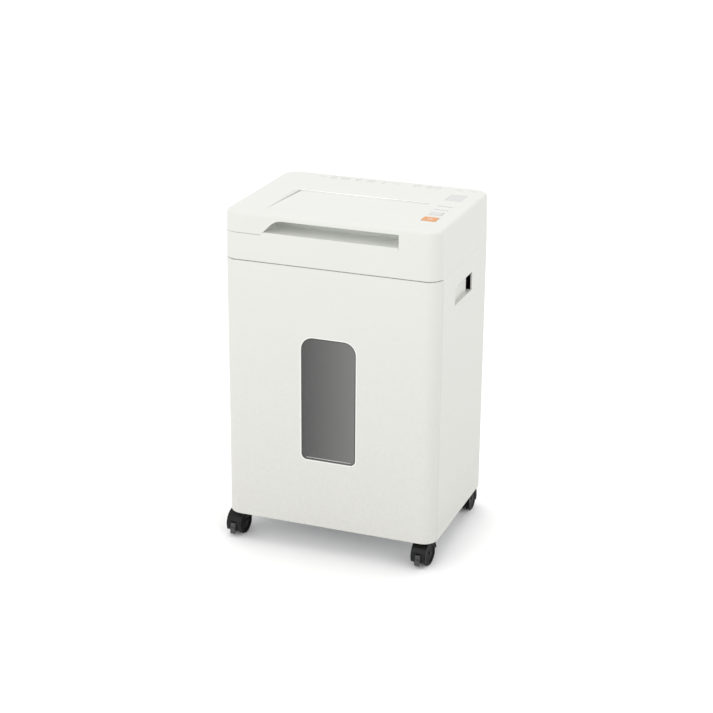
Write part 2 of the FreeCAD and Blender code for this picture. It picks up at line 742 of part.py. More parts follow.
def tie_rod_places():
    """Where the tie rods cross the block: (y, z)."""
    low = DECK_TOP_Z + TIE_ROD_Z
    rear = LEFT_PLATE_REAR - 2 * TIE_ROD_R
    return ((PLATE_FRONT + 2 * TIE_ROD_R, low), (rear, low), (rear, PLATE_TOP_Z - 2 * TIE_ROD_R))


def frame_plate(side):
    """Steel side plate of the cutting block with a foot on the deck."""
    rear = RIGHT_PLATE_REAR if side > 0 else LEFT_PLATE_REAR
    x0, x1 = sorted((side * PLATE_INNER_X, side * PLATE_OUTER_X))
    foot_x = sorted((side * PLATE_INNER_X, side * (PLATE_OUTER_X + FOOT_WIDTH)))
    plate = box(x0, x1, PLATE_FRONT, rear, DECK_TOP_Z, PLATE_TOP_Z)
    plate = union(plate, box(*foot_x, PLATE_FRONT, rear, DECK_TOP_Z, DECK_TOP_Z + PLATE_T))
    for y, z in shaft_places():
        plate = plate.cut(rod(JOURNAL_R + BUSH_WALL, (-WIDTH, y, z), (WIDTH, y, z)))
    for y, z in tie_rod_places():
        plate = plate.cut(rod(TIE_ROD_R, (-WIDTH, y, z), (WIDTH, y, z)))
    for x, y in foot_screws(side):
        plate = plate.cut(rod(SCREW_R, (x, y, 0), (x, y, DECK_TOP_Z + PLATE_T)))
    if side > 0:
        hole = rod(MOTOR_SHAFT_R + FREE_GAP, (0, MOTOR_Y, MOTOR_Z), (WIDTH, MOTOR_Y, MOTOR_Z))
        plate = plate.cut(hole)
        plate = union(plate, rod(IDLER_AXLE_R, (x0, IDLER_Y, IDLER_Z), (GUARD_X, IDLER_Y, IDLER_Z)))
    return plate


def foot_screws(side):
    """Screw places on one frame foot: (x, y)."""
    x = side * (PLATE_OUTER_X + FOOT_WIDTH / 2)
    return ((x, PLATE_FRONT + FOOT_WIDTH / 2), (x, LEFT_PLATE_REAR - FOOT_WIDTH / 2))


def frame_screws():
    """Screws that hold both frame feet down on the deck."""
    seat = DECK_TOP_Z + PLATE_T
    screws = []
    for side in (-1, 1):
        for x, y in foot_screws(side):
            screws.append(fastener(x, y, seat, (0, 0, -1), PLATE_T))
    return group(screws)


def tie_rods():
    """Bars that hold the frame plates apart."""
    end = PLATE_OUTER_X + WALL
    return group([rod(TIE_ROD_R, (-end, y, z), (end, y, z)) for y, z in tie_rod_places()])


def cutter_bushes():
    """Flanged bushes in the frame plates for the cutter journals."""
    bushes = []
    for side in (-1, 1):
        for y, z in shaft_places():
            x0 = side * PLATE_INNER_X
            x1 = side * PLATE_OUTER_X
            x2 = side * (PLATE_OUTER_X + CUT_MARGIN)
            body = rod(JOURNAL_R + BUSH_WALL, (x0, y, z), (x1, y, z))
            flange = rod(JOURNAL_R + BUSH_WALL + CUT_MARGIN, (x1, y, z), (x2, y, z))
            bore = rod(JOURNAL_R + RUNNING_GAP, (x0 - side, y, z), (x2 + side, y, z))
            bushes.append(union(body, flange).cut(bore))
    return group(bushes)


def disc_face(turn):
    """Flat outline of one cutting disc: a circle with pointed notches."""
    points = []
    steps = 4
    spacing = 360.0 / DISC_NOTCHES
    for i in range(DISC_NOTCHES):
        start = turn + i * spacing
        points.append((start, DISC_R - NOTCH_DEPTH))
        for k in range(steps + 1):
            span = spacing - 2 * NOTCH_HALF_ANGLE
            points.append((start + NOTCH_HALF_ANGLE + span * k / steps, DISC_R))
    corners = [
        V(0, r * math.cos(math.radians(a)), r * math.sin(math.radians(a))) for a, r in points
    ]
    return Part.Face(Part.makePolygon(corners + corners[:1]))


def cutter(y, count, right_end):
    """Cutter shaft: journals, core and a row of notched discs."""
    core_half = PLATE_INNER_X - FREE_GAP
    core = rod(SHAFT_R, (-core_half, y, CUTTER_Z), (core_half, y, CUTTER_Z))
    left_end = -PLATE_OUTER_X - WALL
    journals = rod(JOURNAL_R, (left_end, y, CUTTER_Z), (right_end, y, CUTTER_Z))
    discs = []
    first = -(count - 1) * DISC_PITCH / 2
    for i in range(count):
        face = disc_face(i * DISC_STAGGER)
        face.translate(V(first + i * DISC_PITCH - DISC_T / 2, y, CUTTER_Z))
        discs.append(face.extrude(V(DISC_T, 0, 0)))
    return core.fuse([journals] + discs)


def stripper(y, way, count):
    """Comb whose fingers reach between one cutter's discs from its outer side."""
    z0 = CUTTER_Z - STRIPPER_HEIGHT / 2
    z1 = CUTTER_Z + STRIPPER_HEIGHT / 2
    near = y + way * (DISC_R + 2 * CUT_MARGIN)
    far = near + way * STRIPPER_BAR_T
    bar_y = sorted((near, far))
    finger_y = sorted((y, near))
    pieces = []
    first = -(count - 1) * DISC_PITCH / 2
    for i in range(count):
        x = first + i * DISC_PITCH
        pieces.append(box(x - FINGER_T / 2, x + FINGER_T / 2, *finger_y, z0, z1))
    bar = box(-PLATE_INNER_X, PLATE_INNER_X, *bar_y, z0, z1)
    comb = bar.fuse(pieces)
    hollow = rod(SHAFT_R + FREE_GAP, (-WIDTH, y, CUTTER_Z), (WIDTH, y, CUTTER_Z))
    return comb.cut(hollow).removeSplitter()


# ---- gear train ------------------------------------------------------------------------
def involute(angle):
    """Involute function of a pressure angle."""
    return math.tan(angle) - angle


def tooth_profile(teeth):
    """(half angle, radius) pairs up one flank of an involute tooth."""
    pitch = pitch_radius(teeth)
    pressure = math.radians(PRESSURE_ANGLE)
    base = pitch * math.cos(pressure)
    root = pitch - TOOTH_DEPTH * MODULE
    tip = pitch + TOOTH_RISE * MODULE
    half_at_pitch = math.pi / (2 * teeth) - BACKLASH / (2 * pitch)
    flank = []
    start = max(base, root)
    steps = 4
    for k in range(steps + 1):
        radius = start + (tip - start) * k / steps
        local = math.acos(min(1.0, base / radius))
        flank.append((half_at_pitch + involute(pressure) - involute(local), radius))
    if root < base:
        flank.insert(0, (flank[0][0], root))
    return flank


def gear(teeth, bore, x0, x1, y, z, turn):
    """Spur gear on an axis along X; turn is the angle of its first tooth from +Y."""
    flank = tooth_profile(teeth)
    corners = []
    for i in range(teeth):
        middle = turn + 2 * math.pi * i / teeth
        sides = [(middle - a, r) for a, r in flank] + [(middle + a, r) for a, r in flank[::-1]]
        corners += [V(x0, y + r * math.cos(a), z + r * math.sin(a)) for a, r in sides]
    blank = Part.Face(Part.makePolygon(corners + corners[:1])).extrude(V(x1 - x0, 0, 0))
    return blank.cut(rod(bore, (x0 - CUT_MARGIN, y, z), (x1 + CUT_MARGIN, y, z)))


def mesh_turn(teeth, towards):
    """First-tooth angle of a gear that shows a gap in the direction of its partner."""
    return towards + math.pi / teeth


def cutter_gears():
    """The two equal gears that make the cutters turn against each other."""
    end = GEAR_X + GEAR_T
    rear = gear(CUTTER_TEETH, JOURNAL_R, GEAR_X, end, REAR_SHAFT_Y, CUTTER_Z, math.pi)
    turn = mesh_turn(CUTTER_TEETH, 0.0)
    front = gear(CUTTER_TEETH, JOURNAL_R, GEAR_X, end, FRONT_SHAFT_Y, CUTTER_Z, turn)
    return front, rear


def idler_gear():
    """Two-step gear between the motor and the rear cutter."""
    bore = IDLER_AXLE_R + RUNNING_GAP
    angle = math.radians(IDLER_ANGLE)
    gap_at = nearest_gap_turn(IDLER_SMALL_TEETH, angle + math.pi, CUTTER_TEETH, math.pi, angle)
    small = gear(IDLER_SMALL_TEETH, bore, GEAR_X, IDLER_GEAR_X, IDLER_Y, IDLER_Z, gap_at)
    large = gear(
        IDLER_LARGE_TEETH, bore, IDLER_GEAR_X, IDLER_GEAR_X + IDLER_GEAR_T, IDLER_Y, IDLER_Z, 0.0
    )
    return union(small, large)


def nearest_gap_turn(teeth, towards, partner_teeth, partner_turn, partner_towards):
    """Turn that sets this gear in mesh with a partner whose first tooth is at partner_turn.

    The partner's phase at the line of centres, counted in teeth, is mirrored and shifted by
    half a tooth.
    """
    partner_phase = (partner_towards - partner_turn) * partner_teeth / (2 * math.pi)
    phase = -partner_phase + 0.5
    return towards - phase * 2 * math.pi / teeth


def motor_pinion():
    """Motor shaft with its pinion."""
    towards = math.radians(MOTOR_ANGLE) + math.pi
    turn = nearest_gap_turn(PINION_TEETH, towards, IDLER_LARGE_TEETH, 0.0, math.radians(MOTOR_ANGLE))
    x1 = IDLER_GEAR_X + IDLER_GEAR_T
    pinion = gear(PINION_TEETH, MOTOR_SHAFT_R, IDLER_GEAR_X, x1, MOTOR_Y, MOTOR_Z, turn)
    shaft = rod(MOTOR_SHAFT_R, (PLATE_INNER_X - MOTOR_SHAFT_IN, MOTOR_Y, MOTOR_Z), (x1, MOTOR_Y, MOTOR_Z))
    return union(pinion, shaft)


def motor():
    """Motor can on the right frame plate, with a recess for the rotor's shaft."""
    x1 = PLATE_INNER_X
    x0 = x1 - MOTOR_LENGTH
    can = rod(MOTOR_R, (x0, MOTOR_Y, MOTOR_Z), (x1, MOTOR_Y, MOTOR_Z))
    nose = rod(MOTOR_R / 2, (x0 - MOTOR_NOSE, MOTOR_Y, MOTOR_Z), (x0, MOTOR_Y, MOTOR_Z))
    depth = x1 - MOTOR_SHAFT_IN - CUT_MARGIN
    mouth = x1 + CUT_MARGIN
    well = rod(MOTOR_SHAFT_R + RUNNING_GAP, (depth, MOTOR_Y, MOTOR_Z), (mouth, MOTOR_Y, MOTOR_Z))
    return union(can, nose).cut(well)


def guard_posts():
    """Places of the posts between the right plate and the gear guard: (y, z)."""
    return (
        (PLATE_FRONT + 2 * GUARD_POST_R, PLATE_TOP_Z - 2 * GUARD_POST_R),
        (RIGHT_PLATE_REAR - 2 * GUARD_POST_R, PLATE_TOP_Z - 2 * GUARD_POST_R),
        (RIGHT_PLATE_REAR - 2 * GUARD_POST_R, DECK_TOP_Z + 3 * GUARD_POST_R),
    )


def gear_guard():
    """Outer plate over the gears, on three posts, that also steadies the idler's axle."""
    x1 = GUARD_X + GUARD_T
    guard = box(GUARD_X, x1, PLATE_FRONT, RIGHT_PLATE_REAR, DECK_TOP_Z, PLATE_TOP_Z)
    for y, z in guard_posts():
        guard = union(guard, rod(GUARD_POST_R, (PLATE_OUTER_X, y, z), (GUARD_X, y, z)))
    return guard


# ---- controls --------------------------------------------------------------------------
def key(place):
    """Push key: cap through the top, flange under it, stem towards its switch."""
    x, y, sx, sy = place
    hx = sx / 2 - HAIRLINE
    hy = sy / 2 - HAIRLINE
    top = TOP_Z + KEY_PROUD
    flange_top = UNDER_TOP_Z - HAIRLINE
    flange_low = flange_top - KEY_FLANGE_T
    cap = rounded_block(x - hx, x + hx, y - hy, y + hy, flange_low, top, KEY_CORNER_R)
    cap = cap.makeFillet(KEY_PROUD, edges_near_z(cap, top))
    hx += KEY_FLANGE
    hy += KEY_FLANGE
    flange = rounded_block(x - hx, x + hx, y - hy, y + hy, flange_low, flange_top, KEY_CORNER_R)
    stem = rod(KEY_STEM_R, (x, y, flange_low - KEY_STEM_LENGTH), (x, y, flange_low))
    return union(cap, flange, stem)


def key_switches():
    """Switch under each key, on the board, its top just short of the pressed stem."""
    z0 = BOARD_Z + BOARD_T
    half = SWITCH_SIZE / 2
    switches = []
    for x, y, _sx, _sy in (POWER_KEY, REVERSE_KEY):
        switches.append(box(x - half, x + half, y - half, y + half, z0, SWITCH_TOP_Z))
    return group(switches)


def lens(place):
    """Clear insert set flush in the top, with a thin flange under it."""
    x, y, sx, sy = place
    hx = sx / 2 + HAIRLINE - RUNNING_GAP
    hy = sy / 2 + HAIRLINE - RUNNING_GAP
    radius = min(KEY_CORNER_R, sy / 2)
    plug = rounded_block(x - hx, x + hx, y - hy, y + hy, UNDER_TOP_Z, TOP_Z - RUNNING_GAP, radius)
    low = UNDER_TOP_Z - GUIDE_T
    hx += KEY_FLANGE
    hy += KEY_FLANGE
    return union(plug, rounded_block(x - hx, x + hx, y - hy, y + hy, low, UNDER_TOP_Z, radius))


def control_board():
    """Circuit board under the controls, on the cover's posts, with its screws' holes."""
    x0 = PANEL_X - BOARD_HALF_WIDTH
    x1 = PANEL_X + BOARD_HALF_WIDTH
    board = box(x0, x1, BOARD_FRONT, BOARD_REAR, BOARD_Z, BOARD_Z + BOARD_T)
    for x, y in board_posts():
        board = board.cut(rod(SCREW_R, (x, y, 0), (x, y, TOP_Z)))
    return board


def board_screws():
    """Screws from below through the board into the posts."""
    length = BOARD_T + 2 * WALL
    return group([fastener(x, y, BOARD_Z, (0, 0, 1), length) for x, y in board_posts()])


# ---- interlock and catch ---------------------------------------------------------------
def interlock_hinge():
    """Axis of the interlock lever: (y, z)."""
    return SHELL_FRONT_Y + LEVER_SETBACK, DECK_Z - LEVER_DROP


def interlock_switch():
    """Switch body under the deck with two ears and a pin for its lever."""
    y, z = interlock_hinge()
    x = INTERLOCK_X
    half = SWITCH_HALF_WIDTH
    ear = EAR_HALF_LENGTH
    body = box(x - half, x + half, y - ear, y - ear + SWITCH_LENGTH, z + ear, DECK_Z)
    ears = []
    for x0, x1 in ((x - half, x - half + EAR_T), (x + half - EAR_T, x + half)):
        ears.append(box(x0, x1, y - ear, y + ear, z - EAR_DROP, z + ear))
    return union(body, *ears, rod(TAB_PIN_R, (x - half, y, z), (x + half, y, z)))


def interlock_lever():
    """Lever that the drawer holds back while it is closed."""
    y, z = interlock_hinge()
    x = INTERLOCK_X
    half = LEVER_HALF_WIDTH
    far = SWITCH_HALF_WIDTH
    hub = rod(TAB_PIN_R + CUT_MARGIN, (x - half, y, z), (x + half, y, z))
    arm = box(x - half, x + half, y - LEVER_HALF_T, y + LEVER_HALF_T, z - LEVER_LENGTH, z)
    bore = rod(TAB_PIN_R + RUNNING_GAP, (x - far, y, z), (x + far, y, z))
    return union(hub, arm).cut(bore)


def drawer_magnets():
    """Magnet catches under the front of the deck."""
    y0 = FRONT_INNER_Y + BIN_WALL
    half = MAGNET_WIDTH / 2
    magnets = []
    for x in (-MAGNET_X, MAGNET_X):
        magnets.append(box(x - half, x + half, y0, y0 + DRAWER_FLANGE, DECK_Z - MAGNET_HEIGHT, DECK_Z))
    return group(magnets)


def magnet_strikers():
    """Steel strips on the drawer front that the magnets hold."""
    half = MAGNET_WIDTH / 2
    y1 = FRONT_INNER_Y + BIN_WALL / 2
    strips = []
    for x in (-MAGNET_X, MAGNET_X):
        strips.append(box(x - half, x + half, FRONT_INNER_Y, y1, DECK_Z - MAGNET_HEIGHT, DECK_Z))
    return group(strips)


# ---- drawer ----------------------------------------------------------------------------
def window_wire(margin, y):
    """Window outline, rounder at its top, grown by margin."""
    half = WINDOW_WIDTH / 2 + margin
    low = WINDOW_BOTTOM_R + margin
    high = WINDOW_TOP_R + margin
    wire = rounded_wire(-half, half, WINDOW_Z0 - margin, WINDOW_Z1 + margin, (low, low, high, high), 0)
    wire.rotate(V(0, 0, 0), V(1, 0, 0), 90)
    wire.translate(V(0, y, 0))
    return wire


def window_prism(margin, y0, y1):
    """Solid of the window's outline between two depths."""
    return Part.Face(window_wire(margin, y0)).extrude(V(0, y1 - y0, 0))


def drawer_screw_places():
    """Screws that tie the bin to the drawer front: (x, z)."""
    x = BIN_HALF_WIDTH - BIN_WALL - 6 * SCREW_R
    low = BIN_BOTTOM_Z + 8 * SCREW_HEAD_R
    high = BIN_TOP_Z - 8 * SCREW_HEAD_R
    return [(-x, low), (x, low), (-x, high), (x, high)]


def drawer_front():
    """Full-width front that wraps both corners, with flanges, bosses and the window."""
    ring = body_ring(FLOOR_Z, DRAWER_TOP_Z)
    flanges = body_ring(FLOOR_Z, DRAWER_TOP_Z, WALL, DRAWER_FLANGE)
    middle = body_solid(FLOOR_Z + WALL, DRAWER_TOP_Z - WALL)
    front = union(ring, flanges.cut(middle))
    front = front.common(box(-WIDTH, WIDTH, -DEPTH, -HALF_D + DRAWER_WRAP, 0, TOP_Z))
    outer_low = [e for e in edges_near_z(front, FLOOR_Z) if on_outline(e)]
    outer_top = [e for e in edges_near_z(front, DRAWER_TOP_Z) if on_outline(e)]
    front = front.makeFillet(BOTTOM_EDGE_R, outer_low + outer_top)
    front = front.cut(window_prism(0.0, -DEPTH, 0))
    for x, z in drawer_screw_places():
        front = union(front, rod(BOSS_R, (x, FRONT_INNER_Y, z), (x, BIN_FRONT_Y, z)))
        front = front.cut(rod(SCREW_R, (x, FRONT_INNER_Y, z), (x, BIN_FRONT_Y, z)))
    y, z = interlock_hinge()
    x = INTERLOCK_X
    half = STRIKER_TAB_HALF
    tab_y = y - LEVER_HALF_T - STRIKER_GAP
    tab = box(x - half, x + half, FRONT_INNER_Y, tab_y, z - STRIKER_TAB_LOW, z - STRIKER_TAB_HIGH)
    return union(front, tab)


def on_outline(edge):
    """True for an edge that lies on the outer face of the cabinet."""
    middle = edge.valueAt((edge.FirstParameter + edge.LastParameter) / 2)
    probe = Part.Vertex(middle)
    wire = body_wire(middle.z, 0.0)
    return wire.distToShape(probe)[0] < RUNNING_GAP


def window_pane():
    """Smoked pane: a plug in the window and a flange behind it."""
    plug = window_prism(-PANE_GAP, -HALF_D + PANE_RECESS, FRONT_INNER_Y)
    flange = window_prism(PANE_FLANGE, FRONT_INNER_Y, FRONT_INNER_Y + PANE_FLANGE_T)
    return union(plug, flange)


def window_bezel():
    """Frame that clamps the pane's flange against the drawer front."""
    y0 = FRONT_INNER_Y + PANE_FLANGE_T
    outer = window_prism(PANE_FLANGE + BEZEL_BAND, y0, BIN_FRONT_Y)
    return outer.cut(window_prism(PANE_FLANGE / 2, y0 - CUT_MARGIN, BIN_FRONT_Y + CUT_MARGIN))


def drawer_bin():
    """Open waste bin with a rolled rim and an opening behind the window."""
    x = BIN_HALF_WIDTH
    y0 = BIN_FRONT_Y
    y1 = BIN_REAR_Y
    t = BIN_WALL
    outer = box(-x, x, y0, y1, BIN_BOTTOM_Z, BIN_TOP_Z)
    rim = box(-x - BIN_RIM, x + BIN_RIM, y0, y1 + BIN_RIM, BIN_TOP_Z - BIN_RIM_T, BIN_TOP_Z)
    hollow = box(-x + t, x - t, y0 + t, y1 - t, BIN_BOTTOM_Z + t, TOP_Z)
    tub = union(outer, rim).cut(hollow)
    tub = tub.cut(window_prism(PANE_FLANGE / 2, y0 - CUT_MARGIN, y0 + t + CUT_MARGIN))
    for sx, sz in drawer_screw_places():
        tub = tub.cut(rod(SCREW_R, (sx, y0, sz), (sx, y0 + t, sz)))
    return tub


def drawer_screws():
    """Screws from inside the bin into the drawer front's bosses."""
    seat = BIN_FRONT_Y + BIN_WALL
    length = BIN_WALL + BEZEL_T
    return group([fastener(x, seat, z, (0, -1, 0), length) for x, z in drawer_screw_places()])


# ---- casters ---------------------------------------------------------------------------
def tab_pin_place():
    """Pin of the brake tab in the caster's own frame: (y, z)."""
    return -(WHEEL_R + HOOD_GAP + HOOD_T) + HAIRLINE, WHEEL_R + HOOD_T


def tab_slot():
    """Gap in the front of a braked hood that its tab turns in."""
    _y, z = tab_pin_place()
    half = TAB_HALF + FREE_GAP
    inner = WHEEL_R + HOOD_GAP
    return box(-half, half, -2 * WHEEL_R, -inner + 2 * HOOD_T, -CUT_MARGIN, z + 2 * HOOD_T)


def hood_shell():
    """Curved cover over the wheels, lower at the front than at the back."""
    inner = WHEEL_R + HOOD_GAP
    outer = inner + HOOD_T
    half = HOOD_HALF_WIDTH
    z = WHEEL_R
    tube = rod(outer, (-half, 0, z), (half, 0, z)).cut(rod(inner, (-half, 0, z), (half, 0, z)))
    front = box(-half, half, -2 * outer, 0, z - WHEEL_R / 2, z + 2 * outer)
    rear = box(-half, half, 0, 2 * outer, z + HOOD_T, z + 2 * outer)
    return tube.common(front).fuse(tube.common(rear)).removeSplitter()


def hood_local(braked):
    """Caster hood about the wheel's axis, trailing towards -Y, stem at +Y."""
    inner = WHEEL_R + HOOD_GAP
    half = HOOD_HALF_WIDTH
    z = WHEEL_R
    y = CASTER_TRAIL
    web = rod(WHEEL_R - HOOD_T, (-WEB_HALF, 0, z), (WEB_HALF, 0, z))
    spine = rod(inner + CUT_MARGIN, (-WEB_HALF, 0, z), (WEB_HALF, 0, z))
    spine = spine.common(box(-half, half, -2 * inner, 2 * inner, z, 3 * inner))
    collar = rod(COLLAR_R, (0, y, z + HOOD_T), (0, y, FLOOR_Z - SWIVEL_GAP))
    collar = collar.cut(rod(inner, (-WIDTH, 0, z), (WIDTH, 0, z)))
    neck = box(-WEB_HALF, WEB_HALF, 0, y + STEM_R, z + HOOD_T, FLOOR_Z - 2 * HOOD_T)
    stem = rod(STEM_R, (0, y, FLOOR_Z - 2 * HOOD_T), (0, y, FLOOR_Z + STEM_LENGTH))
    shell = hood_shell()
    if braked:
        shell = shell.cut(tab_slot())
        spine = spine.cut(tab_slot())
    hood = union(shell, spine, web, neck, collar, stem)
    if braked:
        pin_y, pin_z = tab_pin_place()
        reach = TAB_HALF + CUT_MARGIN
        hood = union(hood, rod(TAB_PIN_R, (-reach, pin_y, pin_z), (reach, pin_y, pin_z)))
    return hood.cut(rod(AXLE_R, (-half - 1, 0, z), (half + 1, 0, z)))


def brake_tab_local():
    """Brake tab: a hub on the pin and a pad that hangs in front of the hood."""
    y, z = tab_pin_place()
    half = TAB_HALF
    hub = rod(TAB_PIN_R + CUT_MARGIN, (-half, y, z), (half, y, z))
    arm = box(-half, half, y - 2 * CUT_MARGIN, y, z - TAB_LENGTH, z)
    pad = box(-half, half, y - 2 * HOOD_T, y - CUT_MARGIN, z - TAB_PAD_END, z - TAB_PAD_TOP)
    bore = rod(TAB_PIN_R + RUNNING_GAP, (-WIDTH, y, z), (WIDTH, y, z))
    return union(hub, arm, pad).cut(bore)


def wheels_local():
    """Pair of wheels with dished outer faces and rounded treads."""
    wheels = []
    z = WHEEL_R
    for side in (-1, 1):
        x0 = side * WHEEL_INNER_X
        x1 = side * (WHEEL_INNER_X + WHEEL_T)
        tyre = rod(WHEEL_R, (x0, 0, z), (x1, 0, z))
        wheel = tyre.makeFillet(CUT_MARGIN, [e for e in tyre.Edges if e.Closed])
        dish = rod(DISH_R, (x1 - side * CUT_MARGIN, 0, z), (x1 + side, 0, z))
        bore = rod(AXLE_R + RUNNING_GAP, (x0 - side, 0, z), (x1 + side, 0, z))
        wheels.append(wheel.cut(dish).cut(bore))
    return group(wheels)


def axle_local():
    """Steel axle through the hood's web and both wheels."""
    half = WHEEL_INNER_X + WHEEL_T
    return rod(AXLE_R, (-half, 0, WHEEL_R), (half, 0, WHEEL_R))


def placed(shape, x, y, way):
    """Move a caster piece from its own frame to its swivel axis, turned for its corner."""
    moved = shape.copy()
    moved.translate(V(0, -CASTER_TRAIL, 0))
    turn = FRONT_TURN if way < 0 else 180.0
    moved.rotate(V(0, 0, 0), V(0, 0, 1), turn)
    moved.translate(V(x, y, 0))
    return moved


def caster_nodes():
    """Every caster piece: name and shape."""
    plain = hood_local(False)
    braked = hood_local(True)
    for name, x, y, way in socket_places():
        hood = braked if way < 0 else plain
        yield "caster_hood_" + name, placed(hood, x, y, way)
        yield "caster_axle_" + name, placed(axle_local(), x, y, way)
        yield "caster_wheels_" + name, placed(wheels_local(), x, y, way)
        if way < 0:
            yield "brake_tab_" + name, placed(brake_tab_local(), x, y, way)


# ---- assembly --------------------------------------------------------------------------
def fixed_nodes():
    """Pieces that don't move against the cabinet."""
    yield "cabinet_shell", cabinet_shell()
    yield "base_plate", base_plate()
    yield "caster_sockets", caster_sockets()
    yield "left_rail", rail(-1)
    yield "right_rail", rail(1)
    yield "head_deck", head_deck()
    yield "left_grip_cup", grip_cup(-1)
    yield "right_grip_cup", grip_cup(1)
    yield "upper_housing", upper_housing()
    yield "top_cover", top_cover()
    yield "feed_guide", feed_guide()
    yield "paper_sensor", paper_sensor()
    yield "rear_vent", rear_vent()
    yield "power_inlet", power_inlet()
    yield "inlet_pins", inlet_pins()
    yield "left_frame_plate", frame_plate(-1)
    yield "right_frame_plate", frame_plate(1)
    yield "frame_screws", frame_screws()
    yield "tie_rods", tie_rods()
    yield "cutter_bushes", cutter_bushes()
    yield "front_stripper", stripper(FRONT_SHAFT_Y, -1, DISC_COUNT - 1)
    yield "rear_stripper", stripper(REAR_SHAFT_Y, 1, DISC_COUNT - 2)
    yield "motor", motor()
    yield "gear_guard", gear_guard()
    yield "control_board", control_board()
    yield "board_screws", board_screws()
    yield "key_switches", key_switches()
    yield "display_lens", lens(DISPLAY)
    yield "status_lenses", group([lens(place) for place in STATUS_STRIPS])
    yield "interlock_switch", interlock_switch()
    yield "drawer_magnets", drawer_magnets()


def moving_nodes():
    """Pieces of the drawer, the keys, the cutters and the gear train."""
    yield "drawer_front", drawer_front()
    yield "drawer_bin", drawer_bin()
    yield "window_pane", window_pane()
    yield "window_bezel", window_bezel()
    yield "magnet_strikers", magnet_strikers()
    yield "drawer_screws", drawer_screws()
    yield "power_button", key(POWER_KEY)
    yield "reverse_button", key(REVERSE_KEY)
    yield "interlock_lever", interlock_lever()
    gear_end = GEAR_X + GEAR_T
    yield "front_cutter", cutter(FRONT_SHAFT_Y, DISC_COUNT, gear_end)
    yield "rear_cutter", cutter(REAR_SHAFT_Y, DISC_COUNT - 1, gear_end)
    front_gear, rear_gear = cutter_gears()
    yield "front_cutter_gear", front_gear
    yield "rear_cutter_gear", rear_gear
    yield "idler_gear", idler_gear()
    yield "motor_pinion", motor_pinion()


def main():
    """Build every node and write it."""
    os.makedirs("parts", exist_ok=True)
    for nodes in (fixed_nodes(), moving_nodes(), caster_nodes()):
        for name, shape in nodes:
            save(shape, name)


main()
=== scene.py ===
"""Looks of an office paper shredder: its finishes, softened mouldings, printed marks, painted
highlights and shade, and studio.
"""
import json
import logging
import math
from dataclasses import dataclass, field
from enum import Enum
from typing import Callable

import bmesh
import bpy
import numpy as np
from mathutils import Matrix, Vector

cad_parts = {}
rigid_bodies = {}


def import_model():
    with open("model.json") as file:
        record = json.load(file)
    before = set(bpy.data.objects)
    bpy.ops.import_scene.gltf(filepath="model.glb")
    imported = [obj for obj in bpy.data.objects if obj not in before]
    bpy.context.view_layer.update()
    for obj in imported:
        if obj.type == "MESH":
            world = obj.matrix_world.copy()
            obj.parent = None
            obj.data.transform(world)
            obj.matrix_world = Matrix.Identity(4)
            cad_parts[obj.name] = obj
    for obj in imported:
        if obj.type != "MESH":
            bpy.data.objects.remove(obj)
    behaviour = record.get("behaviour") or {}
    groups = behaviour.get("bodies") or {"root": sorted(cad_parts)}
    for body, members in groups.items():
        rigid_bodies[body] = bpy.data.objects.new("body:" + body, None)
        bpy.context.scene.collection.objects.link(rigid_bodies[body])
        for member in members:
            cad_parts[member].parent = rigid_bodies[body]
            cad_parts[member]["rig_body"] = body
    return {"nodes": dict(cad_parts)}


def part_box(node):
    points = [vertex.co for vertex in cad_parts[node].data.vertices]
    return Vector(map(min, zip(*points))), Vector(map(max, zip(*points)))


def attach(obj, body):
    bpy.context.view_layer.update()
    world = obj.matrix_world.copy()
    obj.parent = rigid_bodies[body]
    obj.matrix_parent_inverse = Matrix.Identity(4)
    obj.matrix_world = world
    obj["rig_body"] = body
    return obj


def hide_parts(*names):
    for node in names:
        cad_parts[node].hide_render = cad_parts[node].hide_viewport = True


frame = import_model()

LOG = logging.getLogger("shredder")
MM = 0.001
Colour = tuple[float, float, float]
Node = bpy.types.Node
Socket = bpy.types.NodeSocket
Strokes = list[tuple[np.ndarray, bool]]
INK_HEIGHT = 0.06 * MM
NOISE_MIDDLE = 0.5


class Slot(Enum):
    """Material slots of the record that the finishes below are made for."""

    SHELL = "shell_white"
    BIN = "bin_grey"
    GUIDE = "guide_grey"
    PANE = "smoked_pane"
    LENS = "panel_lens"
    KEY_ORANGE = "key_orange"
    KEY_GREY = "key_grey"
    BLACK = "black_plastic"
    PLATED = "plated_steel"
    CUTTER = "cutter_steel"
    BRONZE = "bush_bronze"
    NYLON = "gear_nylon"
    MOTOR = "motor_case"
    BOARD = "board_green"
    MAGNET = "magnet"
    HOOD = "caster_black"
    WHEEL = "wheel_black"
    BRAKE = "brake_grey"


class Ink(Enum):
    """Inks of the printed marks and of the painted highlights and painted shade lines."""

    GREY = "ink_grey"
    WHITE = "ink_white"
    PAINTED_HIGHLIGHT = "ink_painted_highlight"
    PAINTED_SHADOW = "ink_painted_shadow"


class Coating(Enum):
    """Coatings of single nodes that differ from their slot's usual finish."""

    BLACKENED = "blackened_pin"


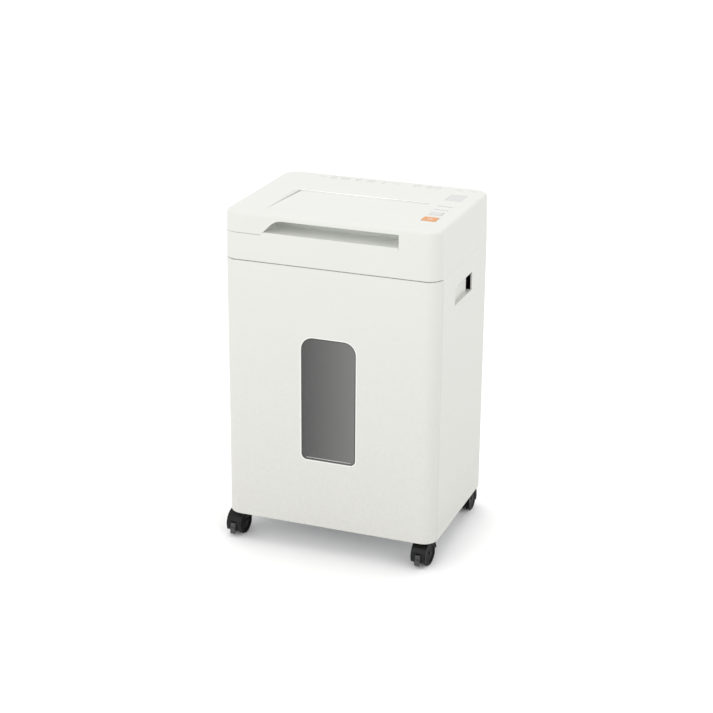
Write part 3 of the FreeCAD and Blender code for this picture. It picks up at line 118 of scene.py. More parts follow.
# ---- shader trees ----------------------------------------------------------------------
class Tree:
    """A node tree that is filled by short calls."""

    def __init__(self, tree: bpy.types.NodeTree) -> None:
        """Keep the tree that nodes are added to."""
        self.tree = tree

    def add(self, kind: str, inputs: dict | None = None, **settings: object) -> Node:
        """Add one node.

        Args:
            kind: type name of the node.
            inputs: values of its input sockets, or sockets to link them to, by name or number.
            settings: attributes of the node.

        Returns:
            The node.
        """
        node = self.tree.nodes.new(kind)
        for name, value in settings.items():
            setattr(node, name, value)
        for key, value in (inputs or {}).items():
            if isinstance(value, bpy.types.NodeSocket):
                self.tree.links.new(value, node.inputs[key])
            else:
                node.inputs[key].default_value = value
        return node

    def maths(self, operation: str, first: object, second: object) -> Socket:
        """Output of a Math node on two values or sockets."""
        return self.add("ShaderNodeMath", {0: first, 1: second}, operation=operation).outputs[0]

    def noise(self, vector: Socket, scale: object, detail: float) -> Socket:
        """Factor of a noise texture."""
        inputs = {"Vector": vector, "Scale": scale, "Detail": detail}
        return self.add("ShaderNodeTexNoise", inputs).outputs["Fac"]

    def shade(self, colour: object, factor: Socket) -> Socket:
        """Colour multiplied by a factor that is about one."""
        grey = self.add("ShaderNodeCombineXYZ", {0: factor, 1: factor, 2: factor}).outputs[0]
        node = self.add("ShaderNodeVectorMath", {0: colour, 1: grey}, operation="MULTIPLY")
        return node.outputs[0]

    def mix(self, factor: Socket, first: object, second: object) -> Socket:
        """Colour between two colours, by the colour sockets of a Mix node."""
        node = self.add("ShaderNodeMix", {0: factor, 6: first, 7: second}, data_type="RGBA")
        return node.outputs[2]

    def group(self, made: bpy.types.NodeTree, inputs: dict[str, object]) -> Node:
        """Place a node group and fill its inputs."""
        return self.add("ShaderNodeGroup", inputs, node_tree=made)


def rgba(colour: Colour) -> tuple[float, float, float, float]:
    """Opaque colour of three channels."""
    return (*colour, 1.0)


def effect(name: str, inputs: dict[str, str], outputs: dict[str, str],
           fill: Callable) -> bpy.types.NodeTree:
    """Shader node group, made once and shared by every material that uses it.

    Args:
        name: name of the group.
        inputs: socket types by input name.
        outputs: socket types by output name.
        fill: function that takes the tree and the input sockets, and returns the output sockets.

    Returns:
        The group.
    """
    if name in bpy.data.node_groups:
        return bpy.data.node_groups[name]
    group = bpy.data.node_groups.new(name, "ShaderNodeTree")
    for label, kind in inputs.items():
        group.interface.new_socket(label, in_out="INPUT", socket_type=kind)
    for label, kind in outputs.items():
        group.interface.new_socket(label, in_out="OUTPUT", socket_type=kind)
    tree = Tree(group)
    entry = group.nodes.new("NodeGroupInput")
    leave = group.nodes.new("NodeGroupOutput")
    results = fill(tree, {label: entry.outputs[label] for label in inputs})
    for label, socket in results.items():
        group.links.new(socket, leave.inputs[label])
    return group


VECTOR = "NodeSocketVector"
FLOAT = "NodeSocketFloat"
COLOR = "NodeSocketColor"


def mould_grain() -> bpy.types.NodeTree:
    """Spark-eroded moulding: fine pits, roughness that follows them, and a slow drift of tone.

    Returns:
        The node group.
    """
    pit_detail, drift_scale, drift_detail, cell_share = 4.0, 11.0, 2.0, 0.6

    def fill(tree: Tree, given: dict[str, Socket]) -> dict[str, Socket]:
        """Noise at the grain's scale for the pits, and at a tenth of a metre for the drift.

        Args:
            tree: the tree of the group.
            given: its input sockets by name.

        Returns:
            Its output sockets by name.
        """
        at = given["Vector"]
        pits = tree.noise(at, given["Grain"], pit_detail)
        grid = {"Vector": at, "Scale": given["Grain"]}
        cells = tree.add("ShaderNodeTexVoronoi", grid).outputs["Distance"]
        drift = tree.maths("SUBTRACT", tree.noise(at, drift_scale, drift_detail), NOISE_MIDDLE)
        tone = tree.maths("MULTIPLY_ADD", drift, given["Drift"])
        tone.node.inputs[2].default_value = 1.0
        rough = tree.maths("MULTIPLY", tree.maths("SUBTRACT", pits, NOISE_MIDDLE), given["Spread"])
        height = tree.maths("ADD", pits, tree.maths("MULTIPLY", cells, cell_share))
        return {
            "Colour": tree.shade(given["Colour"], tone),
            "Roughness": tree.maths("ADD", given["Roughness"], rough),
            "Height": height,
        }

    inputs = {"Vector": VECTOR, "Colour": COLOR, "Grain": FLOAT, "Drift": FLOAT,
              "Roughness": FLOAT, "Spread": FLOAT}
    outputs = {"Colour": COLOR, "Roughness": FLOAT, "Height": FLOAT}
    return effect("mould_grain", inputs, outputs, fill)


def floor_dust_and_shade() -> bpy.types.NodeTree:
    """Film that grows towards the floor, broken up by noise: real dust on the casters, and painted
    shade on the white shell, darker towards its bottom.

    Returns:
        The node group.
    """
    patch_scale, patch_detail = 420.0, 5.0

    def fill(tree: Tree, given: dict[str, Socket]) -> dict[str, Socket]:
        """The mask falls from one at the floor to nothing at the reach, times noise.

        Args:
            tree: the tree of the group.
            given: its input sockets by name.

        Returns:
            Its output sockets by name.
        """
        height = tree.add("ShaderNodeSeparateXYZ", {0: given["Vector"]}).outputs["Z"]
        fall = tree.maths("SUBTRACT", 1.0, tree.maths("DIVIDE", height, given["Reach"]))
        patch = tree.noise(given["Vector"], patch_scale, patch_detail)
        # On the casters this mask is dust; on the shell it paints shade that deepens towards the
        # floor.
        mask = tree.maths("MULTIPLY", fall, tree.maths("MULTIPLY", patch, given["Amount"]))
        mask.node.use_clamp = True
        return {"Colour": tree.mix(mask, given["Colour"], given["Dust and shade"])}

    inputs = {"Vector": VECTOR, "Colour": COLOR, "Dust and shade": COLOR, "Reach": FLOAT, "Amount": FLOAT}
    return effect("floor_dust_and_shade", inputs, {"Colour": COLOR}, fill)


def drawn_metal() -> bpy.types.NodeTree:
    """Rolled or ground metal: long streaks of tone, roughness and height.

    Returns:
        The node group.
    """
    streak_detail, patch_scale, patch_detail, patch_share = 6.0, 5.0, 3.0, 0.5
    middle, rough_share = 0.75, 0.35

    def fill(tree: Tree, given: dict[str, Socket]) -> dict[str, Socket]:
        """Noise squeezed across the grain direction, with a few wide patches over it.

        Args:
            tree: the tree of the group.
            given: its input sockets by name.

        Returns:
            Its output sockets by name.
        """
        streak = tree.noise(given["Vector"], given["Scale"], streak_detail)
        patch = tree.noise(given["Vector"], patch_scale, patch_detail)
        both = tree.maths("ADD", streak, tree.maths("MULTIPLY", patch, patch_share))
        off = tree.maths("SUBTRACT", both, middle)
        tone = tree.maths("ADD", 1.0, tree.maths("MULTIPLY", off, given["Contrast"]))
        rough = tree.maths("ADD", given["Roughness"], tree.maths("MULTIPLY", off, rough_share))
        return {"Colour": tree.shade(given["Colour"], tone), "Roughness": rough, "Height": streak}

    inputs = {"Vector": VECTOR, "Colour": COLOR, "Scale": FLOAT, "Contrast": FLOAT,
              "Roughness": FLOAT}
    outputs = {"Colour": COLOR, "Roughness": FLOAT, "Height": FLOAT}
    return effect("drawn_metal", inputs, outputs, fill)


def across_fade() -> bpy.types.NodeTree:
    """Painted light: tone that grows along the object's X axis, standing for the light behind a
    smoked pane.

    Returns:
        The node group.
    """

    def fill(tree: Tree, given: dict[str, Socket]) -> dict[str, Socket]:
        """The tone is one in the middle, and changes by the slope for each metre of X.

        Args:
            tree: the tree of the group.
            given: its input sockets by name.

        Returns:
            Its output sockets by name.
        """
        across = tree.add("ShaderNodeSeparateXYZ", {0: given["Vector"]}).outputs["X"]
        tone = tree.maths("ADD", 1.0, tree.maths("MULTIPLY", across, given["Slope"]))
        return {"Colour": tree.shade(given["Colour"], tone)}

    inputs = {"Vector": VECTOR, "Colour": COLOR, "Slope": FLOAT}
    return effect("across_fade", inputs, {"Colour": COLOR}, fill)


# ---- finishes --------------------------------------------------------------------------
@dataclass(frozen=True)
class Finish:
    """A material with one Principled shader, object coordinates and a Bump node.

    Each kind of finish fills in its own pattern by overriding pattern().
    """

    name: str
    colour: Colour
    roughness: float = 0.5
    metallic: float = 0.0
    bump: float = 0.1
    depth: float = 0.02 * MM
    coat: float = 0.0
    coat_roughness: float = 0.12
    specular: float = 0.5
    glow: float = 0.0

    def pattern(self, tree: Tree, at: Socket) -> dict[str, Socket]:
        """Sockets for the shader, by its socket name; Height goes to the Bump node."""
        raise NotImplementedError

    def settings(self) -> dict[str, object]:
        """Uniform values set on the shader's own sockets."""
        return {
            "Metallic": self.metallic,
            "Coat Weight": self.coat,
            "Coat Roughness": self.coat_roughness,
            "Specular IOR Level": self.specular,
            "Emission Color": rgba(self.colour),
            "Emission Strength": self.glow,
        }

    def build(self) -> bpy.types.Material:
        """Make the material.

        Returns:
            The material.
        """
        material = bpy.data.materials.new(self.name)
        material.use_nodes = True
        tree = Tree(material.node_tree)
        shader = material.node_tree.nodes["Principled BSDF"]
        shader.inputs["Base Color"].default_value = rgba(self.colour)
        shader.inputs["Roughness"].default_value = self.roughness
        for name, value in self.settings().items():
            shader.inputs[name].default_value = value
        at = tree.add("ShaderNodeTexCoord").outputs["Object"]
        for name, socket in self.pattern(tree, at).items():
            if name == "Height":
                inputs = {"Height": socket, "Strength": self.bump, "Distance": self.depth}
                normal = tree.add("ShaderNodeBump", inputs).outputs["Normal"]
                tree.tree.links.new(normal, shader.inputs["Normal"])
            else:
                tree.tree.links.new(socket, shader.inputs[name])
        return material


@dataclass(frozen=True)
class Moulded(Finish):
    """Injection-moulded plastic with a fine eroded grain."""

    grain: float = 1400.0
    drift: float = 0.03
    spread: float = 0.18

    def pattern(self, tree: Tree, at: Socket) -> dict[str, Socket]:
        """The mould_grain group with this finish's values.

        Args:
            tree: the tree of the material.
            at: object coordinates.

        Returns:
            Sockets by the name of the shader's socket.
        """
        inputs = {"Vector": at, "Colour": rgba(self.colour), "Grain": self.grain,
                  "Drift": self.drift, "Roughness": self.roughness, "Spread": self.spread}
        group = tree.group(mould_grain(), inputs)
        return {
            "Base Color": group.outputs["Colour"],
            "Roughness": group.outputs["Roughness"],
            "Height": group.outputs["Height"],
        }


@dataclass(frozen=True)
class DustAndLowShade(Moulded):
    """Moulded plastic with a film that grows towards the floor: dust on the casters, painted shade
    on the shell.
    """

    dust_and_shade_tone: Colour = (0.28, 0.27, 0.25)
    reach: float = 30 * MM
    amount: float = 0.35

    def pattern(self, tree: Tree, at: Socket) -> dict[str, Socket]:
        """The moulded pattern with the floor_dust_and_shade group over its colour.

        Args:
            tree: the tree of the material.
            at: object coordinates.

        Returns:
            Sockets by the name of the shader's socket.
        """
        found = super().pattern(tree, at)
        inputs = {"Vector": at, "Colour": found["Base Color"], "Dust and shade": rgba(self.dust_and_shade_tone),
                  "Reach": self.reach, "Amount": self.amount}
        found["Base Color"] = tree.group(floor_dust_and_shade(), inputs).outputs["Colour"]
        return found


@dataclass(frozen=True)
class Drawn(Finish):
    """Metal with streaks along one direction."""

    metallic: float = 1.0
    stretch: tuple[float, float, float] = (1.0, 12.0, 12.0)
    scale: float = 60.0
    contrast: float = 0.3

    def pattern(self, tree: Tree, at: Socket) -> dict[str, Socket]:
        """The drawn_metal group on coordinates squeezed along the grain.

        Args:
            tree: the tree of the material.
            at: object coordinates.

        Returns:
            Sockets by the name of the shader's socket.
        """
        vector = tree.add("ShaderNodeMapping", {"Vector": at, "Scale": self.stretch}).outputs[0]
        inputs = {"Vector": vector, "Colour": rgba(self.colour), "Scale": self.scale,
                  "Contrast": self.contrast, "Roughness": self.roughness}
        group = tree.group(drawn_metal(), inputs)
        return {
            "Base Color": group.outputs["Colour"],
            "Roughness": group.outputs["Roughness"],
            "Height": group.outputs["Height"],
        }


@dataclass(frozen=True)
class Spangled(Drawn):
    """Zinc-plated sheet: crystals of slightly different tone over the rolling marks."""

    crystals: float = 160.0
    darkest: float = 0.9
    tone_range: float = 0.18

    def pattern(self, tree: Tree, at: Socket) -> dict[str, Socket]:
        """The drawn pattern, shaded by the random tone of each cell of a Voronoi texture.

        Args:
            tree: the tree of the material.
            at: object coordinates.

        Returns:
            Sockets by the name of the shader's socket.
        """
        found = super().pattern(tree, at)
        grid = {"Vector": at, "Scale": self.crystals}
        cells = tree.add("ShaderNodeTexVoronoi", grid).outputs["Color"]
        value = tree.add("ShaderNodeSeparateXYZ", {0: cells}).outputs[0]
        tone = tree.maths("ADD", self.darkest, tree.maths("MULTIPLY", value, self.tone_range))
        found["Base Color"] = tree.shade(found["Base Color"], tone)
        return found


@dataclass(frozen=True)
class Board(Moulded):
    """Solder mask with paler tracks and small tinned pads."""

    track: Colour = (0.09, 0.33, 0.15)
    pad: Colour = (0.62, 0.62, 0.6)
    track_scale: float = 210.0
    track_width: float = 0.06
    track_pitch: float = 0.32
    pad_scale: float = 260.0
    pad_scatter: float = 0.25
    pad_radius: float = 0.17

    def pattern(self, tree: Tree, at: Socket) -> dict[str, Socket]:
        """Tracks are thin bands of a brick texture, pads are the cores of a regular cell grid.

        Args:
            tree: the tree of the material.
            at: object coordinates.

        Returns:
            Sockets by the name of the shader's socket.
        """
        found = super().pattern(tree, at)
        bricks = {"Vector": at, "Scale": self.track_scale, "Mortar Size": self.track_width,
                  "Row Height": self.track_pitch}
        tracks = tree.add("ShaderNodeTexBrick", bricks).outputs["Fac"]
        grid = {"Vector": at, "Scale": self.pad_scale, "Randomness": self.pad_scatter}
        dots = tree.add("ShaderNodeTexVoronoi", grid).outputs["Distance"]
        pads = tree.maths("LESS_THAN", dots, self.pad_radius)
        tracked = tree.mix(tracks, found["Base Color"], rgba(self.track))
        found["Base Color"] = tree.mix(pads, tracked, rgba(self.pad))
        return found


@dataclass(frozen=True)
class Smoked(Moulded):
    """Clear smoked plastic: part of the light goes through, the rest is a dark gloss."""

    through: float = 0.35
    index: float = 1.49
    # Painted light: how much the pane's tone grows for each metre of X.
    slope: float = 12.0

    def pattern(self, tree: Tree, at: Socket) -> dict[str, Socket]:
        """The moulded pattern with the across_fade group over its colour, which paints light
        growing across the pane.

        Args:
            tree: the tree of the material.
            at: object coordinates.

        Returns:
            Sockets by the name of the shader's socket.
        """
        found = super().pattern(tree, at)
        inputs = {"Vector": at, "Colour": found["Base Color"], "Slope": self.slope}
        found["Base Color"] = tree.group(across_fade(), inputs).outputs["Colour"]
        return found

    def settings(self) -> dict[str, object]:
        """The moulded settings with a fixed share of transmission."""
        return super().settings() | {"Transmission Weight": self.through, "IOR": self.index}


FINISHES: dict[Enum, Finish] = {
    # Painted shade: the shell's darker, warmer film reaches the machine's whole height, so the
    # shell is painted darker towards the floor.
    Slot.SHELL: DustAndLowShade("shell_white_abs", (0.648, 0.651, 0.616), roughness=0.46, bump=0.12,
                      drift=0.02, dust_and_shade_tone=(0.49, 0.477, 0.445), reach=560 * MM, amount=0.85),
    Slot.BIN: Moulded("bin_grey_pp", (0.33, 0.33, 0.335), roughness=0.55, bump=0.18, grain=900.0),
    # Painted light: the feed guide glows a little, lighting the inside of the slot where little
    # light reaches.
    Slot.GUIDE: Moulded("guide_grey_abs", (0.79, 0.8, 0.77), roughness=0.5, bump=0.12, glow=0.06),
    # Painted light: the pane's colour grows lighter towards +X through the across_fade group.
    Slot.PANE: Smoked("smoked_pane_pc", (0.128, 0.13, 0.126), roughness=0.2, bump=0.01, coat=0.3,
                      spread=0.05, grain=240.0),
    Slot.LENS: Moulded("panel_lens_pmma", (0.48, 0.485, 0.47), roughness=0.25, bump=0.02, coat=0.8,
                       coat_roughness=0.03, spread=0.06),
    Slot.KEY_ORANGE: Moulded("key_orange_abs", (0.62, 0.262, 0.082), roughness=0.38, bump=0.08),
    Slot.KEY_GREY: Moulded("key_grey_abs", (0.56, 0.565, 0.545), roughness=0.42, bump=0.08),
    Slot.BLACK: Moulded("black_abs", (0.025, 0.025, 0.026), roughness=0.5, bump=0.2, grain=1000.0),
    Slot.PLATED: Spangled("zinc_sheet", (0.6, 0.61, 0.62), roughness=0.36, bump=0.05),
    Slot.CUTTER: Drawn("oiled_tool_steel", (0.34, 0.33, 0.32), roughness=0.28, bump=0.12,
                       stretch=(14.0, 2.0, 2.0), contrast=0.5),
    Slot.BRONZE: Drawn("sintered_bronze", (0.5, 0.34, 0.16), roughness=0.5, bump=0.2,
                       stretch=(4.0, 4.0, 4.0)),
    Slot.NYLON: Moulded("natural_nylon", (0.74, 0.71, 0.62), roughness=0.44, bump=0.1),
    Slot.MOTOR: Drawn("lacquered_can", (0.06, 0.06, 0.065), roughness=0.4, metallic=0.4, bump=0.1,
                      stretch=(2.0, 9.0, 9.0)),
    Slot.BOARD: Board("solder_mask", (0.025, 0.16, 0.07), roughness=0.3, bump=0.05, coat=0.4),
    Slot.MAGNET: Moulded("ferrite", (0.06, 0.06, 0.06), roughness=0.65, bump=0.3, grain=2600.0),
    Slot.HOOD: DustAndLowShade("hood_nylon", (0.006, 0.006, 0.006), roughness=0.34, bump=0.1, specular=0.2,
                     reach=22 * MM, amount=0.05),
    Slot.WHEEL: DustAndLowShade("wheel_nylon", (0.004, 0.004, 0.004), roughness=0.45, bump=0.15,
                      specular=0.08, amount=0.04),
    Slot.BRAKE: DustAndLowShade("brake_nylon", (0.05, 0.05, 0.053), roughness=0.4, bump=0.1,
                      specular=0.35, amount=0.06),
    # Grey ink for the printed marks, and for the painted shade along the display's edge and the
    # painted highlight above the window's sill.
    Ink.GREY: Moulded("ink_grey_print_and_painted_lines", (0.5, 0.5, 0.49), roughness=0.5, bump=0.05, drift=0.2),
    # Painted highlight: pale ink for the cover's step and the window's rim.
    Ink.PAINTED_HIGHLIGHT: Moulded("ink_painted_highlight_print", (0.92, 0.92, 0.9), roughness=0.4, bump=0.05, drift=0.05),
    # Painted shadow: dark ink for the line round the window pane.
    Ink.PAINTED_SHADOW: Moulded("ink_painted_shadow_print", (0.06, 0.06, 0.06), roughness=0.5, bump=0.05, drift=0.2),
    Ink.WHITE: Moulded("ink_white_print", (0.82, 0.8, 0.77), roughness=0.5, bump=0.05, drift=0.1),
    Coating.BLACKENED: Drawn("blackened_pin", (0.02, 0.02, 0.02), roughness=0.5, metallic=0.3,
                             bump=0.1, specular=0.2),
}


class Palette:
    """Makes each finish once, when it is first asked for."""

    def __init__(self) -> None:
        """Start with no materials."""
        self.made: dict[Enum, bpy.types.Material] = {}

    def get(self, which: Enum) -> bpy.types.Material:
        """Material of a slot, an ink or a coating.

        Args:
            which: the slot, ink or coating.

        Returns:
            Its material.
        """
        if which not in self.made:
            self.made[which] = FINISHES[which].build()
        return self.made[which]


# ---- surfaces --------------------------------------------------------------------------
def mesh_object(name: str, points: np.ndarray, faces: np.ndarray) -> bpy.types.Object:
    """Object from arrays.

    Args:
        name: name of the piece.
        points: array of (count, 3) places in metres.
        faces: array of (count, 4) point numbers, anticlockwise from outside.

    Returns:
        The object, linked to the scene.
    """
    mesh = bpy.data.meshes.new(name)
    mesh.vertices.add(len(points))
    mesh.vertices.foreach_set("co", points.astype(np.float32).ravel())
    mesh.loops.add(faces.size)
    mesh.loops.foreach_set("vertex_index", faces.astype(np.int32).ravel())
    mesh.polygons.add(len(faces))
    mesh.polygons.foreach_set("loop_start", np.arange(len(faces), dtype=np.int32) * faces.shape[1])
    mesh.update(calc_edges=True)
    mesh.validate()
    piece = bpy.data.objects.new(name, mesh)
    bpy.context.scene.collection.objects.link(piece)
    return piece


def ring_faces(stations: int, around: int, closed: bool) -> np.ndarray:
    """Quads of a grid whose rows are closed rings.

    Point number = station × around + place in the ring. Each quad joins two neighbours of a ring
    with the same two of the next. With closed, the last ring joins the first.

    Args:
        stations: how many rings.
        around: how many points in a ring.
        closed: whether the last ring joins the first.

    Returns:
        Array of (count, 4) point numbers.
    """
    rows = np.arange(stations if closed else stations - 1)[:, None]
    cols = np.arange(around)[None, :]
    ahead = (rows + 1) % stations
    beside = (cols + 1) % around
    near, far = rows * around, ahead * around
    quads = [near + cols, near + beside, far + beside, far + cols]
    full = [np.broadcast_to(quad, (len(rows), around)) for quad in quads]
    return np.stack(full, axis=-1).reshape(-1, 4)


def stroke(path: np.ndarray, width: float, closed: bool,
           height: float) -> tuple[np.ndarray, np.ndarray]:
    """Flat stroke, for print and for painted highlights and shade: a low box section carried along
    a path in the XY plane.

    At each point the section's four corners stand at plus and minus half the width along the path's
    normal, at zero and at the ink's height. The normal is the path's direction turned a quarter.

    Args:
        path: array of (count, 2) points.
        width: width of the stroke.
        closed: whether the path's ends meet.
        height: thickness of the ink.

    Returns:
        Points and faces.
    """
    if closed:
        ahead = np.roll(path, -1, axis=0)
        behind = np.roll(path, 1, axis=0)
    else:
        ahead = np.vstack([path[1:], 2 * path[-1] - path[-2]])
        behind = np.vstack([2 * path[0] - path[1], path[:-1]])
    along = ahead - behind
    along /= np.linalg.norm(along, axis=1, keepdims=True)
    normal = np.column_stack([-along[:, 1], along[:, 0]]) * width / 2
    left, right = path + normal, path - normal
    low, high = np.zeros((len(path), 1)), np.full((len(path), 1), height)
    pairs = ((left, low), (right, low), (right, high), (left, high))
    corners = [np.hstack(pair) for pair in pairs]
    points = np.stack(corners, axis=1).reshape(-1, 3)
    faces = ring_faces(len(path), 4, closed)
    if not closed:
        last = 4 * (len(path) - 1)
        caps = np.array([[3, 2, 1, 0], [last, last + 1, last + 2, last + 3]])
        faces = np.vstack([faces, caps])
    return points, faces


def arc(centre: tuple[float, float], radius: float, start: float, sweep: float,
        count: int) -> np.ndarray:
    """Points evenly along an arc; angles in degrees, anticlockwise."""
    angles = np.radians(np.linspace(start, start + sweep, count))
    x, y = centre
    return np.column_stack([x + radius * np.cos(angles), y + radius * np.sin(angles)])


def line(*corners: tuple[float, float]) -> np.ndarray:
    """Open path through corners."""
    return np.array(corners, float)


def rounded_path(half_x: float, half_y: float, low: float, high: float,
                 count: int = 5) -> np.ndarray:
    """Closed outline about the origin with one radius for the low corners and one for the high.

    Args:
        half_x: half of the outline's width.
        half_y: half of its height.
        low: radius of the two low corners.
        high: radius of the two high corners.
        count: points on each corner.

    Returns:
        Array of (4 × count, 2) points, anticlockwise.
    """
    arcs = [arc((half_x - low, low - half_y), low, -90, 90, count),
            arc((half_x - high, half_y - high), high, 0, 90, count),
            arc((high - half_x, half_y - high), high, 90, 90, count),
            arc((low - half_x, low - half_y), low, 180, 90, count)]
    return np.vstack(arcs)


def ink_piece(name: str, strokes: Strokes, width: float, place: tuple,
              upright: bool = False) -> bpy.types.Object:
    """Strokes as one piece, printed marks and painted highlights and shade alike.

    The strokes lie in the XY plane. Upright ones are turned a quarter about X, so that they stand
    in the XZ plane with the ink's thickness towards -Y.

    Args:
        name: name of the piece.
        strokes: pairs of path and whether it is closed.
        width: width of every stroke.
        place: where the paths' origin goes.
        upright: whether the strokes stand on a front face.

    Returns:
        The piece, without a material.
    """
    points, faces, count = [], [], 0
    for path, closed in strokes:
        found, quads = stroke(path, width, closed, INK_HEIGHT)
        if upright:
            found = np.column_stack([found[:, 0], -found[:, 2], found[:, 1]])
        points.append(found + np.array(place))
        faces.append(quads + count)
        count += len(found)
    return mesh_object(name, np.vstack(points), np.vstack(faces))


class Mark(Enum):
    """Plain pictograms without lettering."""

    SHEET = "sheet"
    DISC = "disc"
    CARD = "card"
    CLIP = "clip"
    FORWARD = "forward"
    REVERSE = "reverse"
    POWER = "power"
    BIN = "bin"
    DOTS = "dots"
    TICK = "tick"


def mark_strokes(mark: Mark) -> Strokes:
    """Paths of a pictogram in a square of side two about the origin.

    Args:
        mark: which pictogram.

    Returns:
        Pairs of path and whether it is closed.
    """
    drawings = {
        Mark.SHEET: [(line((-0.6, -1), (0.6, -1), (0.6, 0.5), (0.1, 1), (-0.6, 1)), True),
                     (line((-0.3, -0.4), (0.3, -0.4)), False),
                     (line((-0.3, 0.1), (0.3, 0.1)), False)],
        Mark.DISC: [(arc((0, 0), 1.0, 0, 348, 30), True), (arc((0, 0), 0.3, 0, 330, 12), True)],
        Mark.CARD: [(rounded_path(1.0, 0.65, 0.2, 0.2), True),
                    (line((-0.9, 0.2), (0.9, 0.2)), False)],
        Mark.CLIP: [(np.vstack([line((-0.5, -0.5)), arc((0, 0.5), 0.5, 180, -180, 9),
                                arc((0.1, -0.6), 0.4, 0, -180, 9), line((-0.3, 0.4))]), False)],
        Mark.FORWARD: [(line((0, 1), (0, -0.8)), False),
                       (line((-0.6, -0.2), (0, -0.9), (0.6, -0.2)), False)],
        Mark.REVERSE: [(line((0, -1), (0, 0.8)), False),
                       (line((-0.6, 0.2), (0, 0.9), (0.6, 0.2)), False)],
        Mark.POWER: [(arc((0, 0), 0.85, 125, 290, 24), False), (line((0, 0.1), (0, 1.1)), False)],
        Mark.BIN: [(line((-0.7, 0.6), (-0.5, -1), (0.5, -1), (0.7, 0.6)), False),
                   (line((-0.95, 0.9), (0.95, 0.9)), False)],
        Mark.DOTS: [(arc((x, 0), 0.14, 0, 315, 8), True) for x in (-0.7, 0.0, 0.7)],
        Mark.TICK: [(line((-1, 0), (1, 0)), False)],
    }
    return drawings[mark]


@dataclass(frozen=True)
class Print:
    """One printed pictogram on a level face."""

    name: str
    mark: Mark
    place: tuple[float, float, float]
    half: float
    width: float
    ink: Ink
    slot: Slot
    body: str

    def build(self, palette: Palette) -> None:
        """Join the strokes of the pictogram, move them to their place and dress them.

        Args:
            palette: maker of materials.
        """
        strokes = [(path * self.half, closed) for path, closed in mark_strokes(self.mark)]
        piece = ink_piece(self.name, strokes, self.width, self.place)
        piece.data.materials.append(palette.get(self.ink))
        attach(piece, self.body)
        LOG.info("%s printed", self.name)


# ---- sub-assemblies --------------------------------------------------------------------
@dataclass
class SubAssembly:
    """Pieces that belong together: which finish each CAD node has, and which get softened edges."""

    palette: Palette
    finishes: dict[str, Enum] = field(default_factory=dict)
    softened: dict[str, float] = field(default_factory=dict)

    def dress(self) -> None:
        """Give each node its finish, and put a softened copy in place of those that need one."""
        for node, slot in self.finishes.items():
            cad = frame["nodes"][node]
            for place in cad.material_slots:
                place.material = self.palette.get(slot)
            radius = self.softened.get(node)
            if radius is not None:
                self.soften(node, slot, radius)
            LOG.info("%s dressed as %s", node, slot.value)

    def finish_ink(self, piece: bpy.types.Object, ink: Enum, slot: Slot, body: str) -> None:
        """Give a piece its looks, material slot and body: printed marks, painted highlights and
        shade lines, and the cover's slope.

        Args:
            piece: the piece.
            ink: its ink, or the slot whose finish it has.
            slot: its material slot; not used.
            body: name of the body that it rides on.
        """
        piece.data.materials.append(self.palette.get(ink))
        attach(piece, body)
        # The log calls painted highlights and shade lines printed too.
        LOG.info("%s printed", piece.name)

    def soften(self, node: str, slot: Slot, radius: float) -> None:
        """Copy of a CAD node whose sharp edges have a mould's small radius.

        The copy's loose triangles are merged and its flat faces dissolved, then a Bevel modifier
        rounds every edge that turns by more than the sharp angle.

        Args:
            node: name of the CAD node.
            slot: material slot of the node.
            radius: radius of the rounded edges.
        """
        sharp, flat, weld = math.radians(28.0), math.radians(0.4), 0.002 * MM
        cad = frame["nodes"][node]
        mesh = bpy.data.meshes.new(node + "_moulded")
        work = bmesh.new()
        work.from_mesh(cad.data)
        bmesh.ops.remove_doubles(work, verts=work.verts, dist=weld)
        bmesh.ops.dissolve_limit(work, angle_limit=flat, verts=work.verts, edges=work.edges)
        work.to_mesh(mesh)
        work.free()
        for name in ("custom_normal", "sharp_face", "sharp_edge"):
            if name in mesh.attributes:
                mesh.attributes.remove(mesh.attributes[name])
        mesh.shade_smooth()
        mesh.set_sharp_from_angle(angle=sharp)
        mesh.materials.clear()
        mesh.materials.append(self.palette.get(slot))
        piece = bpy.data.objects.new(node + "_moulded", mesh)
        bpy.context.scene.collection.objects.link(piece)
        bevel = piece.modifiers.new("edge", "BEVEL")
        bevel.width = radius
        bevel.segments = 2
        bevel.limit_method = "ANGLE"
        bevel.angle_limit = sharp
        bevel.harden_normals = True
        bevel.miter_outer = "MITER_ARC"
        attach(piece, cad["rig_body"])
        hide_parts(node)


@dataclass
class Cabinet(SubAssembly):
    """White wrap, base, runners, deck and carrying grips."""

    edge: float = 0.5 * MM

    def __post_init__(self) -> None:
        """Name the cabinet's pieces."""
        self.finishes = {
            "cabinet_shell": Slot.SHELL, "left_grip_cup": Slot.SHELL, "right_grip_cup": Slot.SHELL,
            "base_plate": Slot.PLATED, "head_deck": Slot.PLATED, "caster_sockets": Slot.BLACK,
            "left_rail": Slot.BLACK, "right_rail": Slot.BLACK,
        }
        self.softened = {"cabinet_shell": self.edge}


